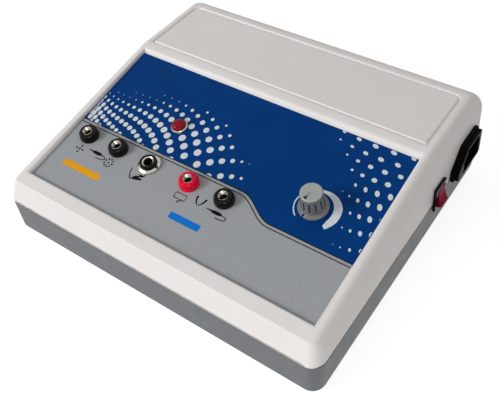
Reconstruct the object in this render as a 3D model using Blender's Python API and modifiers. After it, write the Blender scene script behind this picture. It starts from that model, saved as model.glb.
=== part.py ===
# Desktop electrocautery unit: a two-shell moulded case with a sloping control panel, four
# lead sockets, a foot switch jack, an indicator lamp and a fluted intensity knob, and with
# a rocker switch and a mains inlet on its right wall.
# Units are metres. The front faces -Y, +X is the user's right and the feet stand on Z = 0.

import math

import bmesh
import bpy
from mathutils import Matrix, Vector

MM = 0.001

# Clearances
seat_gap = 0.3 * MM
running_gap = 0.35 * MM
overshoot = 2 * MM

# Case
case_width = 240 * MM
case_depth = 217.5 * MM
case_wall = 2.5 * MM
foot_height = 3 * MM
split_height = 26 * MM
front_height = 39.95 * MM
top_height = 66.3 * MM
crease_run = 143.2 * MM
corner_radius = 8.5 * MM
top_round = 5.5 * MM
rear_round = 15.5 * MM
bottom_round = 1.6 * MM
wall_lean = math.radians(3.3)
lip_height = 2 * MM
lip_thickness = 1.1 * MM
corner_steps = 6
round_steps = 5

# Sloping panel: a recess in the upper shell with a printed overlay on its floor
recess_half_width = 108.2 * MM
recess_front = 16.4 * MM
recess_length = 123.8 * MM
recess_depth = 2.9 * MM
recess_rear_draft = 1.9 * MM
overlay_thickness = 0.5 * MM

# Groove round the flat top
groove_half_width = 107 * MM
groove_front = 2.4 * MM
groove_length = 51.8 * MM
groove_width = 1.2 * MM
groove_depth = 0.7 * MM
groove_radius = 4.5 * MM

# Lead sockets, as (name, x, distance up the panel)
socket_up = 59.4 * MM
socket_places = {
    "low_cut": -92.7 * MM,
    "high_cut": -66.5 * MM,
    "patient_plate": -7.5 * MM,
    "bipolar_handle": 19.6 * MM,
}
collar_radius = 6.7 * MM
collar_base_height = 2.1 * MM
collar_height = 6.1 * MM
collar_step = 0.45 * MM
collar_mouth_radius = 4.1 * MM
stem_radius = 3.9 * MM
stem_length = 13 * MM
sleeve_radius = 2.9 * MM
sleeve_flange_radius = 3.6 * MM
sleeve_flange_height = 1 * MM
sleeve_bore_radius = 2 * MM
sleeve_depth = 15 * MM
sleeve_slot = 0.6 * MM
tail_radius = 1.2 * MM
tail_length = 5 * MM
stem_nut_across = 11 * MM
nut_thickness = 2.5 * MM

# Foot switch jack
jack_x = -40 * MM
jack_up = 59.1 * MM
jack_bushing_radius = 5.6 * MM
jack_height = 4.4 * MM
jack_nut_radius = 7.6 * MM
jack_nut_height = 2 * MM
jack_ring_radius = 3.9 * MM
jack_bore_radius = 3.2 * MM
jack_ring_recess = 0.5 * MM
jack_box = 16 * MM
jack_box_depth = 20 * MM
spanner_slot = 2 * MM

# Indicator lamp
lamp_x = -41.4 * MM
lamp_up = 93.4 * MM
lamp_bezel_radius = 5.75 * MM
lamp_bezel_height = 1.5 * MM
lamp_stem_radius = 4.2 * MM
lamp_stem_length = 11 * MM
lens_radius = 4.9 * MM
lens_height = 3.4 * MM
lens_stem_radius = 3.2 * MM
lens_stem_length = 7 * MM
lamp_nut_across = 11.5 * MM

# Intensity knob on a potentiometer
knob_x = 69.5 * MM
knob_up = 80 * MM
skirt_radius = 9.5 * MM
skirt_height = 1.7 * MM
knob_radius = 6.55 * MM
knob_height = 16.1 * MM
knob_cap_radius = 6.65 * MM
knob_cap_thickness = 1 * MM
knob_plug_radius = 5 * MM
knob_plug_depth = 1.2 * MM
flute_count = 12
flute_radius = 0.9 * MM
flute_offset = 0.15 * MM
flute_length = 9.4 * MM
pointer_length = 2.4 * MM
pointer_width = 1.3 * MM
pointer_distance = 4.3 * MM
pointer_thickness = 0.35 * MM
knob_rest_turn = math.radians(167.5)
shaft_radius = 3 * MM
shaft_length = 11.5 * MM
bushing_radius = 3.5 * MM
bushing_height = 3.5 * MM
pot_radius = 8.4 * MM
pot_depth = 8.6 * MM
pot_nut_across = 9 * MM
pot_tab = 2.4 * MM

# Rocker switch on the right wall
rocker_y = 145.2 * MM
rocker_z = 30.6 * MM
rocker_bezel_width = 14.4 * MM
rocker_bezel_length = 17.8 * MM
rocker_bezel_height = 2.2 * MM
rocker_body_width = 12 * MM
rocker_body_length = 15.8 * MM
rocker_body_depth = 17 * MM
rocker_mouth_width = 10.2 * MM
rocker_mouth_depth = 9 * MM
paddle_reach = 7 * MM
paddle_rise = 3.5 * MM
paddle_dip = 0.9 * MM
paddle_drop = 3 * MM
paddle_pivot_out = 0.5 * MM
paddle_swing = math.radians(13)
trunnion_radius = 1 * MM
trunnion_length = 0.45 * MM
tab_width = 4.8 * MM
tab_thickness = 0.8 * MM
tab_length = 7 * MM
tab_pitch = 8 * MM

# Mains inlet on the right wall
inlet_y = 181.3 * MM
inlet_z = 36.4 * MM
inlet_width = 35.8 * MM
inlet_length = 20.6 * MM
inlet_chamfer = 13 * MM
inlet_flange = 3 * MM
inlet_rise = 5.6 * MM
inlet_step = 1 * MM
inlet_corner = 1.6 * MM
inlet_body_depth = 19 * MM
inlet_mouth_width = 24.6 * MM
inlet_mouth_length = 16.2 * MM
inlet_front_chamfer = 6.4 * MM
inlet_rear_chamfer = 3.6 * MM
inlet_mouth_depth = 17.5 * MM
inlet_mouth_shift = 2.2 * MM
inlet_body_wall = 1.1 * MM
pin_width = 4 * MM
pin_thickness = 2 * MM
pin_length = 12.4 * MM
pin_spacing = 7 * MM
pin_offset = 2 * MM

# Feet, screws and bosses
foot_radius = 7 * MM
foot_inset_x = 30 * MM
foot_inset_y = 26 * MM
foot_peg_radius = 2.4 * MM
foot_peg_length = 2 * MM
screw_inset_x = 14 * MM
screw_inset_y = 14 * MM
screw_radius = 1.7 * MM
screw_head_radius = 3.2 * MM
screw_head_height = 2.2 * MM
screw_reach = 7 * MM
boss_radius = 4.4 * MM
boss_seat = 2.4 * MM

# Circuit board and what it carries
board_x = -22 * MM
board_y = -22 * MM
board_width = 150 * MM
board_depth = 100 * MM
board_thickness = 1.6 * MM
standoff_height = 5 * MM
standoff_radius = 3.4 * MM
board_hole_inset = 5 * MM
board_screw_radius = 1.3 * MM
board_head_radius = 2.7 * MM
board_head_height = 1.6 * MM
heat_sink_width = 40 * MM
heat_sink_depth = 12 * MM
heat_sink_height = 18 * MM
fin_count = 7
fin_thickness = 1.6 * MM
transistor_width = 10 * MM
transistor_height = 14 * MM
transistor_thickness = 4.4 * MM
capacitor_radius = 5 * MM
capacitor_height = 15 * MM
capacitor_pitch = 13 * MM
relay_width = 19 * MM
relay_depth = 15.5 * MM
relay_height = 15 * MM
coil_former_radius = 6 * MM
coil_outer_radius = 11 * MM
coil_height = 11 * MM
coil_flange = 1.4 * MM

sink_x = 40 * MM
sink_y = 30 * MM
relay_x = -60 * MM
relay_y = 25 * MM
capacitor_x = -20 * MM
capacitor_y = 32 * MM
coil_x = 45 * MM
coil_y = -25 * MM

# Mains transformer
transformer_x = -55 * MM
transformer_y = 68 * MM
core_width = 48 * MM
core_height = 40 * MM
core_depth = 20 * MM
core_leg = 8 * MM
coil_overhang = 8 * MM
strap_thickness = 1 * MM
strap_width = 16 * MM
strap_ear = 9 * MM
strap_screw_radius = 1.7 * MM
plinth_height = 2 * MM

# Worked out from the sizes above
base_z = foot_height + seat_gap
front_y = -case_depth / 2
rear_y = case_depth / 2
split_z = base_z + split_height
upper_z = split_z + seat_gap
top_z = base_z + top_height
floor_z = base_z + case_wall
lean = math.tan(wall_lean)
slope = (top_height - front_height) / crease_run
slope_angle = math.atan(slope)
floor_level = -overlay_thickness - seat_gap
under_level = floor_level - case_wall
inlet_overhang = inlet_rise * math.cos(wall_lean) + (inlet_length / 2 - inlet_step) * math.sin(wall_lean)
inlet_lean = lean * (inlet_z - split_height)
case_shift = -(inlet_overhang - inlet_lean) / 2


# Scene and materials
for leftover in list(bpy.data.objects):
    bpy.data.objects.remove(leftover)

scene_root = bpy.context.scene.collection
parts = bpy.data.collections.new("electrocautery_unit")
cutters = bpy.data.collections.new("cutters")
scene_root.children.link(parts)
scene_root.children.link(cutters)


def linear(channel):
    return channel / 12.92 if channel <= 0.04045 else ((channel + 0.055) / 1.055) ** 2.4


def material(name, colour, roughness, metallic=0.0):
    """A Principled material from an sRGB hex colour."""
    made = bpy.data.materials.new(name)
    made.use_nodes = True
    shader = made.node_tree.nodes["Principled BSDF"]
    red, green, blue = (linear(int(colour[i : i + 2], 16) / 255) for i in (1, 3, 5))
    shader.inputs["Base Color"].default_value = (red, green, blue, 1)
    shader.inputs["Roughness"].default_value = roughness
    shader.inputs["Metallic"].default_value = metallic
    return made


white_abs = material("white_abs", "#E6E2DE", 0.5)
grey_abs = material("grey_abs", "#6E7174", 0.5)
overlay_print = material("overlay_print", "#1B4A80", 0.4)
black_plastic = material("black_plastic", "#17181A", 0.35)
red_plastic = material("red_plastic", "#D0122C", 0.3)
red_lens = material("red_lens", "#A00A22", 0.15)
rocker_red = material("rocker_red", "#8E1530", 0.25)
knob_grey = material("knob_grey", "#8C8E8E", 0.5)
cap_grey = material("cap_grey", "#B9BCB8", 0.45)
nickel = material("nickel", "#C9C7C2", 0.2, 1.0)
brass = material("brass", "#B59A57", 0.3, 1.0)
steel = material("steel", "#9A9C9E", 0.35, 1.0)
rubber = material("rubber", "#202123", 0.8)
board_green = material("board_green", "#1F5B3A", 0.5)
aluminium = material("aluminium", "#A7A9AB", 0.4, 1.0)
winding = material("winding", "#C08A2E", 0.4)
core_steel = material("core_steel", "#4A4A4C", 0.5, 0.8)
case_blue = material("relay_blue", "#2F6FB0", 0.4)


# Frames that carry the pieces
def frame(name, location, rotation=(0, 0, 0), parent=None):
    empty = bpy.data.objects.new(name, None)
    empty.location = location
    empty.rotation_euler = rotation
    empty.parent = parent
    scene_root.objects.link(empty)
    return empty


def wall_x(height):
    """Where the right wall stands at this height above the case's bottom."""
    return case_width / 2 - lean * max(height - split_height, 0)


case = frame("case_frame", (case_shift, 0, 0))
panel = frame(
    "panel_frame",
    (0, front_y, base_z + front_height - recess_depth / math.cos(slope_angle)),
    (slope_angle, 0, 0),
    case,
)
rocker_wall = frame(
    "rocker_frame",
    (wall_x(rocker_z), front_y + rocker_y, base_z + rocker_z),
    (0, -wall_lean, 0),
    case,
)
inlet_wall = frame(
    "inlet_frame",
    (wall_x(inlet_z), front_y + inlet_y, base_z + inlet_z),
    (0, -wall_lean, 0),
    case,
)
board = frame("board_frame", (board_x, board_y, floor_z + standoff_height + seat_gap), parent=case)
transformer = frame(
    "transformer_frame", (transformer_x, transformer_y, floor_z + plinth_height + seat_gap), parent=case
)


# Modelling helpers
def place(name, mesh, coat, parent, location=(0, 0, 0), rotation=(0, 0, 0)):
    """A visible piece where a material is given, and otherwise a helper that cuts or joins."""
    made = bpy.data.objects.new(name, mesh)
    made.parent = parent
    made.location = location
    made.rotation_euler = rotation
    if coat is None:
        cutters.objects.link(made)
        made.hide_render = True
        made.display_type = "WIRE"
    else:
        parts.objects.link(made)
        mesh.materials.clear()
        mesh.materials.append(coat)
    return made


def mesh_from(bm, name):
    bmesh.ops.recalc_face_normals(bm, faces=bm.faces)
    mesh = bpy.data.meshes.new(name)
    bm.to_mesh(mesh)
    bm.free()
    return mesh


def box_mesh(name, low, high, radius=0.0, axis=None):
    """A box between two corners, its edges along one axis rounded where a radius is given."""
    low, high = Vector(low), Vector(high)
    bm = bmesh.new()
    bmesh.ops.create_cube(bm, size=1)
    bmesh.ops.scale(bm, vec=high - low, verts=bm.verts)
    bmesh.ops.translate(bm, vec=(low + high) / 2, verts=bm.verts)
    if radius:
        along = [e for e in bm.edges if abs((e.verts[0].co - e.verts[1].co).normalized()[axis]) > 0.9]
        bmesh.ops.bevel(bm, geom=along, offset=radius, segments=4, profile=0.5, affect="EDGES")
    return mesh_from(bm, name)


def box(name, coat, parent, low, high, radius=0.0, axis=None):
    return place(name, box_mesh(name, low, high, radius, axis), coat, parent)


def boxes_mesh(name, corners):
    """Several separate boxes in one mesh, each from its two corners."""
    bm = bmesh.new()
    for low, high in corners:
        low, high = Vector(low), Vector(high)
        made = bmesh.ops.create_cube(bm, size=1)["verts"]
        bmesh.ops.scale(bm, vec=high - low, verts=made)
        bmesh.ops.translate(bm, vec=(low + high) / 2, verts=made)
    return mesh_from(bm, name)


def cylinders_mesh(name, places, radius, low, high, sides=20, phase=0.0):
    """Upright cylinders at the given (x, y) places, in one mesh."""
    bm = bmesh.new()
    for x, y in places:
        turn = Matrix.Translation((x, y, (low + high) / 2)) @ Matrix.Rotation(phase, 4, "Z")
        bmesh.ops.create_cone(
            bm,
            cap_ends=True,
            segments=sides,
            radius1=radius,
            radius2=radius,
            depth=high - low,
            matrix=turn,
        )
    return mesh_from(bm, name)


def cylinders(name, coat, parent, places, radius, low, high, sides=20, phase=0.0):
    mesh = cylinders_mesh(name, places, radius, low, high, sides, phase)
    return place(name, mesh, coat, parent)


def turned(name, coat, parent, profile, location=(0, 0, 0), steps=24, ring=False):
    """A profile of (radius, height) points turned about Z, listed down its outer side."""
    mesh = bpy.data.meshes.new(name)
    count = len(profile)
    edges = [(i, i + 1) for i in range(count - 1)]
    if ring:
        edges.append((count - 1, 0))
    mesh.from_pydata([(radius, 0, height) for radius, height in profile], edges, [])
    made = place(name, mesh, coat, parent, location)
    screw = made.modifiers.new("turn", "SCREW")
    screw.axis = "Z"
    screw.steps = steps
    screw.render_steps = steps
    screw.use_merge_vertices = True
    screw.merge_threshold = 0.00001
    screw.use_smooth_shade = True
    return made


def boolean(target, helper, operation="DIFFERENCE"):
    step = target.modifiers.new(helper.name, "BOOLEAN")
    step.operation = operation
    step.solver = "EXACT"
    step.object = helper


def arc(centre, radius, start, end, steps):
    """Points of an arc in degrees, both ends included."""
    return [
        (
            centre[0] + radius * math.cos(math.radians(start + (end - start) * i / steps)),
            centre[1] + radius * math.sin(math.radians(start + (end - start) * i / steps)),
        )
        for i in range(steps + 1)
    ]


def rounded_outline(half_x, half_y, radius, centre=(0, 0), steps=4):
    """A rectangle's outline with round corners."""
    points = []
    for start, sign_x, sign_y in ((0, 1, 1), (90, -1, 1), (180, -1, -1), (270, 1, -1)):
        middle = (centre[0] + sign_x * (half_x - radius), centre[1] + sign_y * (half_y - radius))
        points += arc(middle, radius, start, start + 90, steps)
    return points


def plate_mesh(name, outlines, low, high):
    """A flat curve with its holes, given a thickness and made a welded mesh."""
    curve = bpy.data.curves.new(name, "CURVE")
    curve.dimensions = "2D"
    curve.fill_mode = "BOTH"
    curve.extrude = (high - low) / 2
    for outline in outlines:
        spline = curve.splines.new("POLY")
        spline.points.add(len(outline) - 1)
        for point, (x, y) in zip(spline.points, outline):
            point.co = (x, y, 0, 1)
        spline.use_cyclic_u = True
    guide = bpy.data.objects.new(name, curve)
    scene_root.objects.link(guide)
    bpy.context.view_layer.update()
    mesh = bpy.data.meshes.new_from_object(guide.evaluated_get(bpy.context.evaluated_depsgraph_get()))
    bpy.data.objects.remove(guide)
    bm = bmesh.new()
    bm.from_mesh(mesh)
    bmesh.ops.remove_doubles(bm, verts=bm.verts, dist=0.000001)
    bmesh.ops.translate(bm, vec=(0, 0, (low + high) / 2), verts=bm.verts)
    return mesh_from(bm, name)


def plate(name, coat, parent, outlines, low, high, rotation=(0, 0, 0)):
    return place(name, plate_mesh(name, outlines, low, high), coat, parent, rotation=rotation)


def circle(centre, radius, steps=20):
    return arc(centre, radius, 0, 360 - 360 / steps, steps - 1)


# A plate drawn as (Y, Z) and given its thickness along X
SIDEWAYS = (math.pi / 2, 0, math.pi / 2)
# A plate drawn as (X, Z) and given its thickness along Y
UPRIGHT = (math.pi / 2, 0, 0)


# Case skin: rings that climb the leaning walls, roll over the top edges and close on the
# sloping panel and the flat top. The rear edge rolls wider than the others.
def roof(y):
    """Height of the top surface at a distance from the front, before its edges are rounded."""
    return base_z + min(front_height + slope * (y - front_y), top_height)


def skin_ring(inset, bottom, angle, drop_wall):
    """One ring of the skin. angle is 0 where the walls end and 90 degrees at the top face."""
    side_round = top_round - min(inset, top_round * 0.6)
    back_round = rear_round - inset
    side_in = side_round * (1 - math.cos(angle))
    back_in = back_round * (1 - math.cos(angle))
    side_drop = side_round * (1 - math.sin(angle)) + inset
    back_drop = back_round * (1 - math.sin(angle)) + inset
    radius = max(corner_radius - inset - side_in, 0.8 * MM)
    half_x = case_width / 2 - inset - side_in
    low_y = front_y + inset + side_in
    high_y = rear_y - inset - back_in
    points = []

    def add(x, y, share):
        drop = side_drop + (back_drop - side_drop) * share
        height = bottom if drop_wall else roof(y) - drop
        shrink = lean * max(height - split_z, 0)
        points.append((x - math.copysign(shrink, x), y - math.copysign(shrink, y), height))

    for x, y in arc((half_x - radius, low_y + radius), radius, -90, 0, corner_steps):
        add(x, y, 0)
    add(half_x, front_y + crease_run, 0)
    add(half_x, high_y - back_round - radius, 0)
    for step, (x, y) in enumerate(arc((half_x - radius, high_y - radius), radius, 0, 90, corner_steps)):
        add(x, y, math.sin(math.pi / 2 * step / corner_steps) ** 2)
    return points + [(-x, y, z) for x, y, z in reversed(points)]


def case_skin(name, inset, bottom, coat, parent):
    """The closed outer form of the upper shell, or its hollow where an inset is given."""
    rings = [skin_ring(inset, bottom, 0, True)]
    for step in range(round_steps + 1):
        rings.append(skin_ring(inset, bottom, math.pi / 2 * step / round_steps, False))
    bm = bmesh.new()
    made = [[bm.verts.new(point) for point in ring] for ring in rings]
    count = len(made[0])
    for lower, upper in zip(made, made[1:]):
        for i in range(count):
            j = (i + 1) % count
            bm.faces.new((lower[i], lower[j], upper[j], upper[i]))
    bm.faces.new(list(reversed(made[0])))
    crease = corner_steps + 1
    mirror = count - 1 - crease
    top = made[-1]
    bm.faces.new(top[: crease + 1] + top[mirror:])
    bm.faces.new(top[crease : mirror + 1])
    return place(name, mesh_from(bm, name), coat, parent)


corner_names = ("front_left", "front_right", "rear_left", "rear_right")


def corners(inset_x, inset_y):
    half_x = case_width / 2 - inset_x
    half_y = case_depth / 2 - inset_y
    return [(-half_x, -half_y), (half_x, -half_y), (-half_x, half_y), (half_x, half_y)]


screw_places = corners(screw_inset_x, screw_inset_y)
foot_places = corners(foot_inset_x, foot_inset_y)


# Openings in the panel, shared by the shell and the overlay
panel_holes = [(x, socket_up, stem_radius) for x in socket_places.values()]
panel_holes.append((jack_x, jack_up, jack_bushing_radius))
panel_holes.append((lamp_x, lamp_up, lamp_stem_radius))
panel_holes.append((knob_x, knob_up, bushing_radius))


def panel_bores(name, low, high):
    """Cylinders at every panel hole, each wider than its stem by the seating gap."""
    bm = bmesh.new()
    for x, up, radius in panel_holes:
        bmesh.ops.create_cone(
            bm,
            cap_ends=True,
            segments=24,
            radius1=radius + seat_gap,
            radius2=radius + seat_gap,
            depth=high - low,
            matrix=Matrix.Translation((x, up, (low + high) / 2)),
        )
    return place(name, mesh_from(bm, name), None, panel)


bores = panel_bores("panel_bores", under_level - overshoot, overshoot)


# Openings in the right wall, shared by both shells
def wall_window(name, parent, width, length, shift=0.0, drop=0.0):
    low = (-case_wall * 3, shift - width / 2 - seat_gap, -length / 2 - seat_gap - drop)
    high = (overshoot, shift + width / 2 + seat_gap, length / 2 + seat_gap)
    return box(name, None, parent, low, high)


rocker_window = wall_window("rocker_window", rocker_wall, rocker_body_width, rocker_body_length)


def mouth_outline(grow, drop=0.0):
    """Front view of the inlet's cavity grown by a margin, as (back, up), with two cut corners.
    Its lower edge is let down further where a drop is given."""
    half_y = inlet_mouth_width / 2 + grow
    half_z = inlet_mouth_length / 2 + grow
    turn = grow * (2 - math.sqrt(2))
    front = inlet_front_chamfer + turn
    rear = inlet_rear_chamfer + turn
    points = [
        (half_y, -half_z - drop),
        (half_y, half_z - rear),
        (half_y - rear, half_z),
        (-half_y + front, half_z),
        (-half_y, half_z - front),
        (-half_y, -half_z - drop),
    ]
    return [(y + inlet_mouth_shift, z) for y, z in points]


inlet_grow = inlet_body_wall + seat_gap
inlet_window = plate(
    "inlet_window",
    None,
    inlet_wall,
    [mouth_outline(inlet_grow, inlet_grow)],
    -case_wall * 3,
    overshoot,
    SIDEWAYS,
)
inlet_lip_gap = plate(
    "inlet_lip_gap",
    None,
    inlet_wall,
    [mouth_outline(inlet_grow, inlet_grow)],
    -case_wall * 3,
    lip_thickness - case_wall + seat_gap / 2,
    SIDEWAYS,
)


# Upper shell
def recess_outline(grow):
    """Side view of the recess, as (distance up the panel, height above the overlay)."""
    rise = recess_depth + overshoot
    rear = recess_front + recess_length
    draft = recess_rear_draft * rise / recess_depth
    return [
        (recess_front - grow, floor_level - grow),
        (rear - recess_rear_draft + grow, floor_level - grow),
        (rear - recess_rear_draft + grow, 0 - grow),
        (rear - recess_rear_draft + draft + grow, rise),
        (recess_front - grow, rise),
    ]


def recess_block(name, grow):
    half = recess_half_width + grow
    return plate(name, None, panel, [recess_outline(grow)], -half, half, SIDEWAYS)


upper_shell = case_skin("upper_shell", 0, upper_z, white_abs, case)
upper_hollow = case_skin("upper_hollow", case_wall, upper_z - overshoot, None, case)
boolean(upper_hollow, recess_block("recess_lining", case_wall))

lip_hollow = place(
    "lip_hollow",
    plate_mesh(
        "lip_hollow",
        [
            rounded_outline(
                case_width / 2 - case_wall + lip_thickness + seat_gap,
                case_depth / 2 - case_wall + lip_thickness + seat_gap,
                corner_radius - case_wall + lip_thickness,
            )
        ],
        upper_z - overshoot,
        split_z + lip_height + seat_gap,
    ),
    None,
    case,
)
boolean(upper_hollow, lip_hollow, "UNION")

upper_bosses = bmesh.new()
for x, y in screw_places:
    boss_top = roof(y) - case_wall / 2 - top_round * 0.4
    bmesh.ops.create_cone(
        upper_bosses,
        cap_ends=True,
        segments=16,
        radius1=boss_radius,
        radius2=boss_radius,
        depth=boss_top - upper_z,
        matrix=Matrix.Translation((x, y, (boss_top + upper_z) / 2)),
    )
upper_boss_helper = place("upper_bosses", mesh_from(upper_bosses, "upper_bosses"), None, case)
boolean(upper_hollow, upper_boss_helper)

pilot_holes = cylinders(
    "pilot_holes",
    None,
    case,
    screw_places,
    screw_radius + seat_gap,
    upper_z - overshoot,
    split_z + screw_reach + seat_gap * 2,
    12,
)


def groove_outline(offset):
    """The panel line round the flat top: square at its front corners and round at the rear."""
    half = groove_half_width + offset
    radius = groove_radius + offset
    near = front_y + crease_run + groove_front - offset
    far = front_y + crease_run + groove_front + groove_length + offset
    right = arc((half - radius, far - radius), radius, 0, 90, 5)
    left = arc((-half + radius, far - radius), radius, 90, 180, 5)
    return [(-half, near), (half, near)] + right + left


groove = plate(
    "top_groove",
    None,
    case,
    [groove_outline(groove_width / 2), groove_outline(-groove_width / 2)],
    top_z - groove_depth,
    top_z + overshoot,
)
for helper in (upper_hollow, recess_block("panel_recess", 0), bores, groove, pilot_holes):
    boolean(upper_shell, helper)
boolean(upper_shell, rocker_window)
boolean(upper_shell, inlet_window)


# Lower shell: a tray with a lip that locates the upper shell, screw bosses, board standoffs
# and a plinth for the transformer
def tray_mesh(name, inset, low, high):
    bm = bmesh.new()
    bmesh.ops.create_cube(bm, size=1)
    size = (case_width - 2 * inset, case_depth - 2 * inset, high - low)
    bmesh.ops.scale(bm, vec=size, verts=bm.verts)
    bmesh.ops.translate(bm, vec=(0, 0, (low + high) / 2), verts=bm.verts)
    upright = [e for e in bm.edges if abs(e.verts[0].co.z - e.verts[1].co.z) > (high - low) / 2]
    radius = corner_radius - inset
    bmesh.ops.bevel(bm, geom=upright, offset=radius, segments=corner_steps, profile=0.5, affect="EDGES")
    if not inset:
        under = [e for e in bm.edges if all(v.co.z < low + MM / 10 for v in e.verts)]
        bmesh.ops.bevel(bm, geom=under, offset=bottom_round, segments=2, profile=0.5, affect="EDGES")
    return mesh_from(bm, name)


lower_shell = place("lower_shell", tray_mesh("lower_shell", 0, base_z, split_z), grey_abs, case)
tray_hollow = place("tray_hollow", tray_mesh("tray_hollow", case_wall, floor_z, split_z + overshoot), None, case)

screw_seat_z = base_z + screw_head_height + seat_gap * 2
lower_bosses = cylinders(
    "lower_bosses", None, case, screw_places, boss_radius, base_z, split_z - seat_gap, 16
)
boolean(tray_hollow, lower_bosses)

board_holes = [
    (board_x + sign_x * (board_width / 2 - board_hole_inset), board_y + sign_y * (board_depth / 2 - board_hole_inset))
    for sign_x in (-1, 1)
    for sign_y in (-1, 1)
]
standoffs = cylinders(
    "standoffs", None, case, board_holes, standoff_radius, base_z, floor_z + standoff_height, 12
)
boolean(tray_hollow, standoffs)

strap_half = core_width / 2 + seat_gap + strap_thickness
strap_places = [(transformer_x + sign * (strap_half + strap_ear / 2), transformer_y) for sign in (-1, 1)]
plinth_half_x = strap_half + strap_ear
plinth = box(
    "plinth",
    None,
    case,
    (transformer_x - plinth_half_x, transformer_y - core_depth / 2, base_z),
    (transformer_x + plinth_half_x, transformer_y + core_depth / 2, floor_z + plinth_height),
)
boolean(tray_hollow, plinth)
boolean(lower_shell, tray_hollow)

lip = plate(
    "locating_lip",
    None,
    case,
    [
        rounded_outline(
            case_width / 2 - case_wall + lip_thickness,
            case_depth / 2 - case_wall + lip_thickness,
            corner_radius - case_wall + lip_thickness,
        ),
        rounded_outline(
            case_width / 2 - case_wall,
            case_depth / 2 - case_wall,
            corner_radius - case_wall,
        ),
    ],
    split_z - lip_height,
    split_z + lip_height,
)
boolean(lower_shell, lip, "UNION")

screw_clearance = cylinders(
    "screw_clearance",
    None,
    case,
    screw_places,
    screw_radius + seat_gap,
    base_z - overshoot,
    split_z + overshoot,
    12,
)
screw_counterbore = cylinders(
    "screw_counterbore",
    None,
    case,
    screw_places,
    screw_head_radius + seat_gap,
    base_z - overshoot,
    screw_seat_z,
    16,
)
foot_sockets = cylinders(
    "foot_sockets",
    None,
    case,
    foot_places,
    foot_peg_radius + seat_gap,
    base_z - overshoot,
    base_z + foot_peg_length,
    12,
)
board_pilots = cylinders(
    "board_pilots",
    None,
    case,
    board_holes,
    board_screw_radius + seat_gap,
    floor_z,
    floor_z + standoff_height + overshoot,
    10,
)
strap_pilots = cylinders(
    "strap_pilots",
    None,
    case,
    strap_places,
    strap_screw_radius + seat_gap,
    floor_z - case_wall / 2,
    floor_z + plinth_height + overshoot,
    10,
)
for helper in (screw_clearance, screw_counterbore, foot_sockets, board_pilots, strap_pilots):
    boolean(lower_shell, helper)
boolean(lower_shell, rocker_window)
boolean(lower_shell, inlet_lip_gap)


# Feet and case screws
for (x, y), place_name in zip(foot_places, corner_names):
    turned(
        "foot_" + place_name,
        rubber,
        case,
        [
            (0, base_z + foot_peg_length - seat_gap),
            (foot_peg_radius, base_z + foot_peg_length - seat_gap),
            (foot_peg_radius, foot_height),
            (foot_radius, foot_height),
            (foot_radius * 0.93, 0),
            (0, 0),
        ],
        (x, y, 0),
        20,
    )


def screw(name, parent, at, radius, head_radius, head_height, seat, tip):
    """A plain-headed screw. Its head stands on the seat, on the side away from the tip."""
    if tip < seat:
        profile = [
            (0, seat + head_height),
            (head_radius, seat + head_height),
            (head_radius, seat),
            (radius, seat),
            (radius, tip),
            (0, tip),
        ]
    else:
        profile = [
            (0, tip),
            (radius, tip),
            (radius, seat),
            (head_radius, seat),
            (head_radius, seat - head_height),
            (0, seat - head_height),
        ]
    return turned(name, steel, parent, profile, (at[0], at[1], 0), 12)


for at, place_name in zip(screw_places, corner_names):
    screw(
        "case_screw_" + place_name,
        case,
        at,
        screw_radius,
        screw_head_radius,
        screw_head_height,
        screw_seat_z - seat_gap,
        split_z + screw_reach,
    )


# Printed overlay on the recess floor
overlay_margin = 0.4 * MM
overlay_outline = [
    (-recess_half_width + overlay_margin, recess_front + overlay_margin),
    (recess_half_width - overlay_margin, recess_front + overlay_margin),
    (recess_half_width - overlay_margin, recess_front + recess_length - recess_rear_draft - overlay_margin),
    (-recess_half_width + overlay_margin, recess_front + recess_length - recess_rear_draft - overlay_margin),
]
overlay_cuts = [circle((x, up), radius + seat_gap, 24) for x, up, radius in panel_holes]
plate("panel_overlay", overlay_print, panel, [overlay_outline] + overlay_cuts, -overlay_thickness, 0)


def nut(name, at, across, bore, low, high):
    """A hexagon nut with a round bore."""
    outlines = [arc(at, across / math.sqrt(3), 0, 300, 5), circle(at, bore, 16)]
    return plate(name, nickel, panel, outlines, low, high)


# Lead sockets: a stepped and domed collar, and a split sleeve in its bore
nut_high = under_level - seat_gap
nut_low = nut_high - nut_thickness


def socket_collar(name, x, coat):
    bore = sleeve_radius + seat_gap
    mouth = sleeve_flange_radius + seat_gap
    upper = collar_radius - collar_step
    shelf = collar_height - sleeve_flange_height - seat_gap * 2
    dome = [
        (upper - (upper - collar_mouth_radius) * (1 - math.cos(t)), collar_height - 2.2 * MM * (1 - math.sin(t)))
        for t in (math.radians(a) for a in (90, 55, 25, 0))
    ]
    profile = dome + [
        (upper, collar_base_height + 0.3 * MM),
        (upper - 0.25 * MM, collar_base_height),
        (collar_radius, collar_base_height - 0.3 * MM),
        (collar_radius, seat_gap),
        (stem_radius, seat_gap),
        (stem_radius, -stem_length),
        (bore, -stem_length),
        (bore, shelf),
        (mouth, shelf),
        (mouth, collar_height),
    ]
    return turned(name, coat, panel, profile, (x, socket_up, 0), 20, ring=True)


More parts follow.
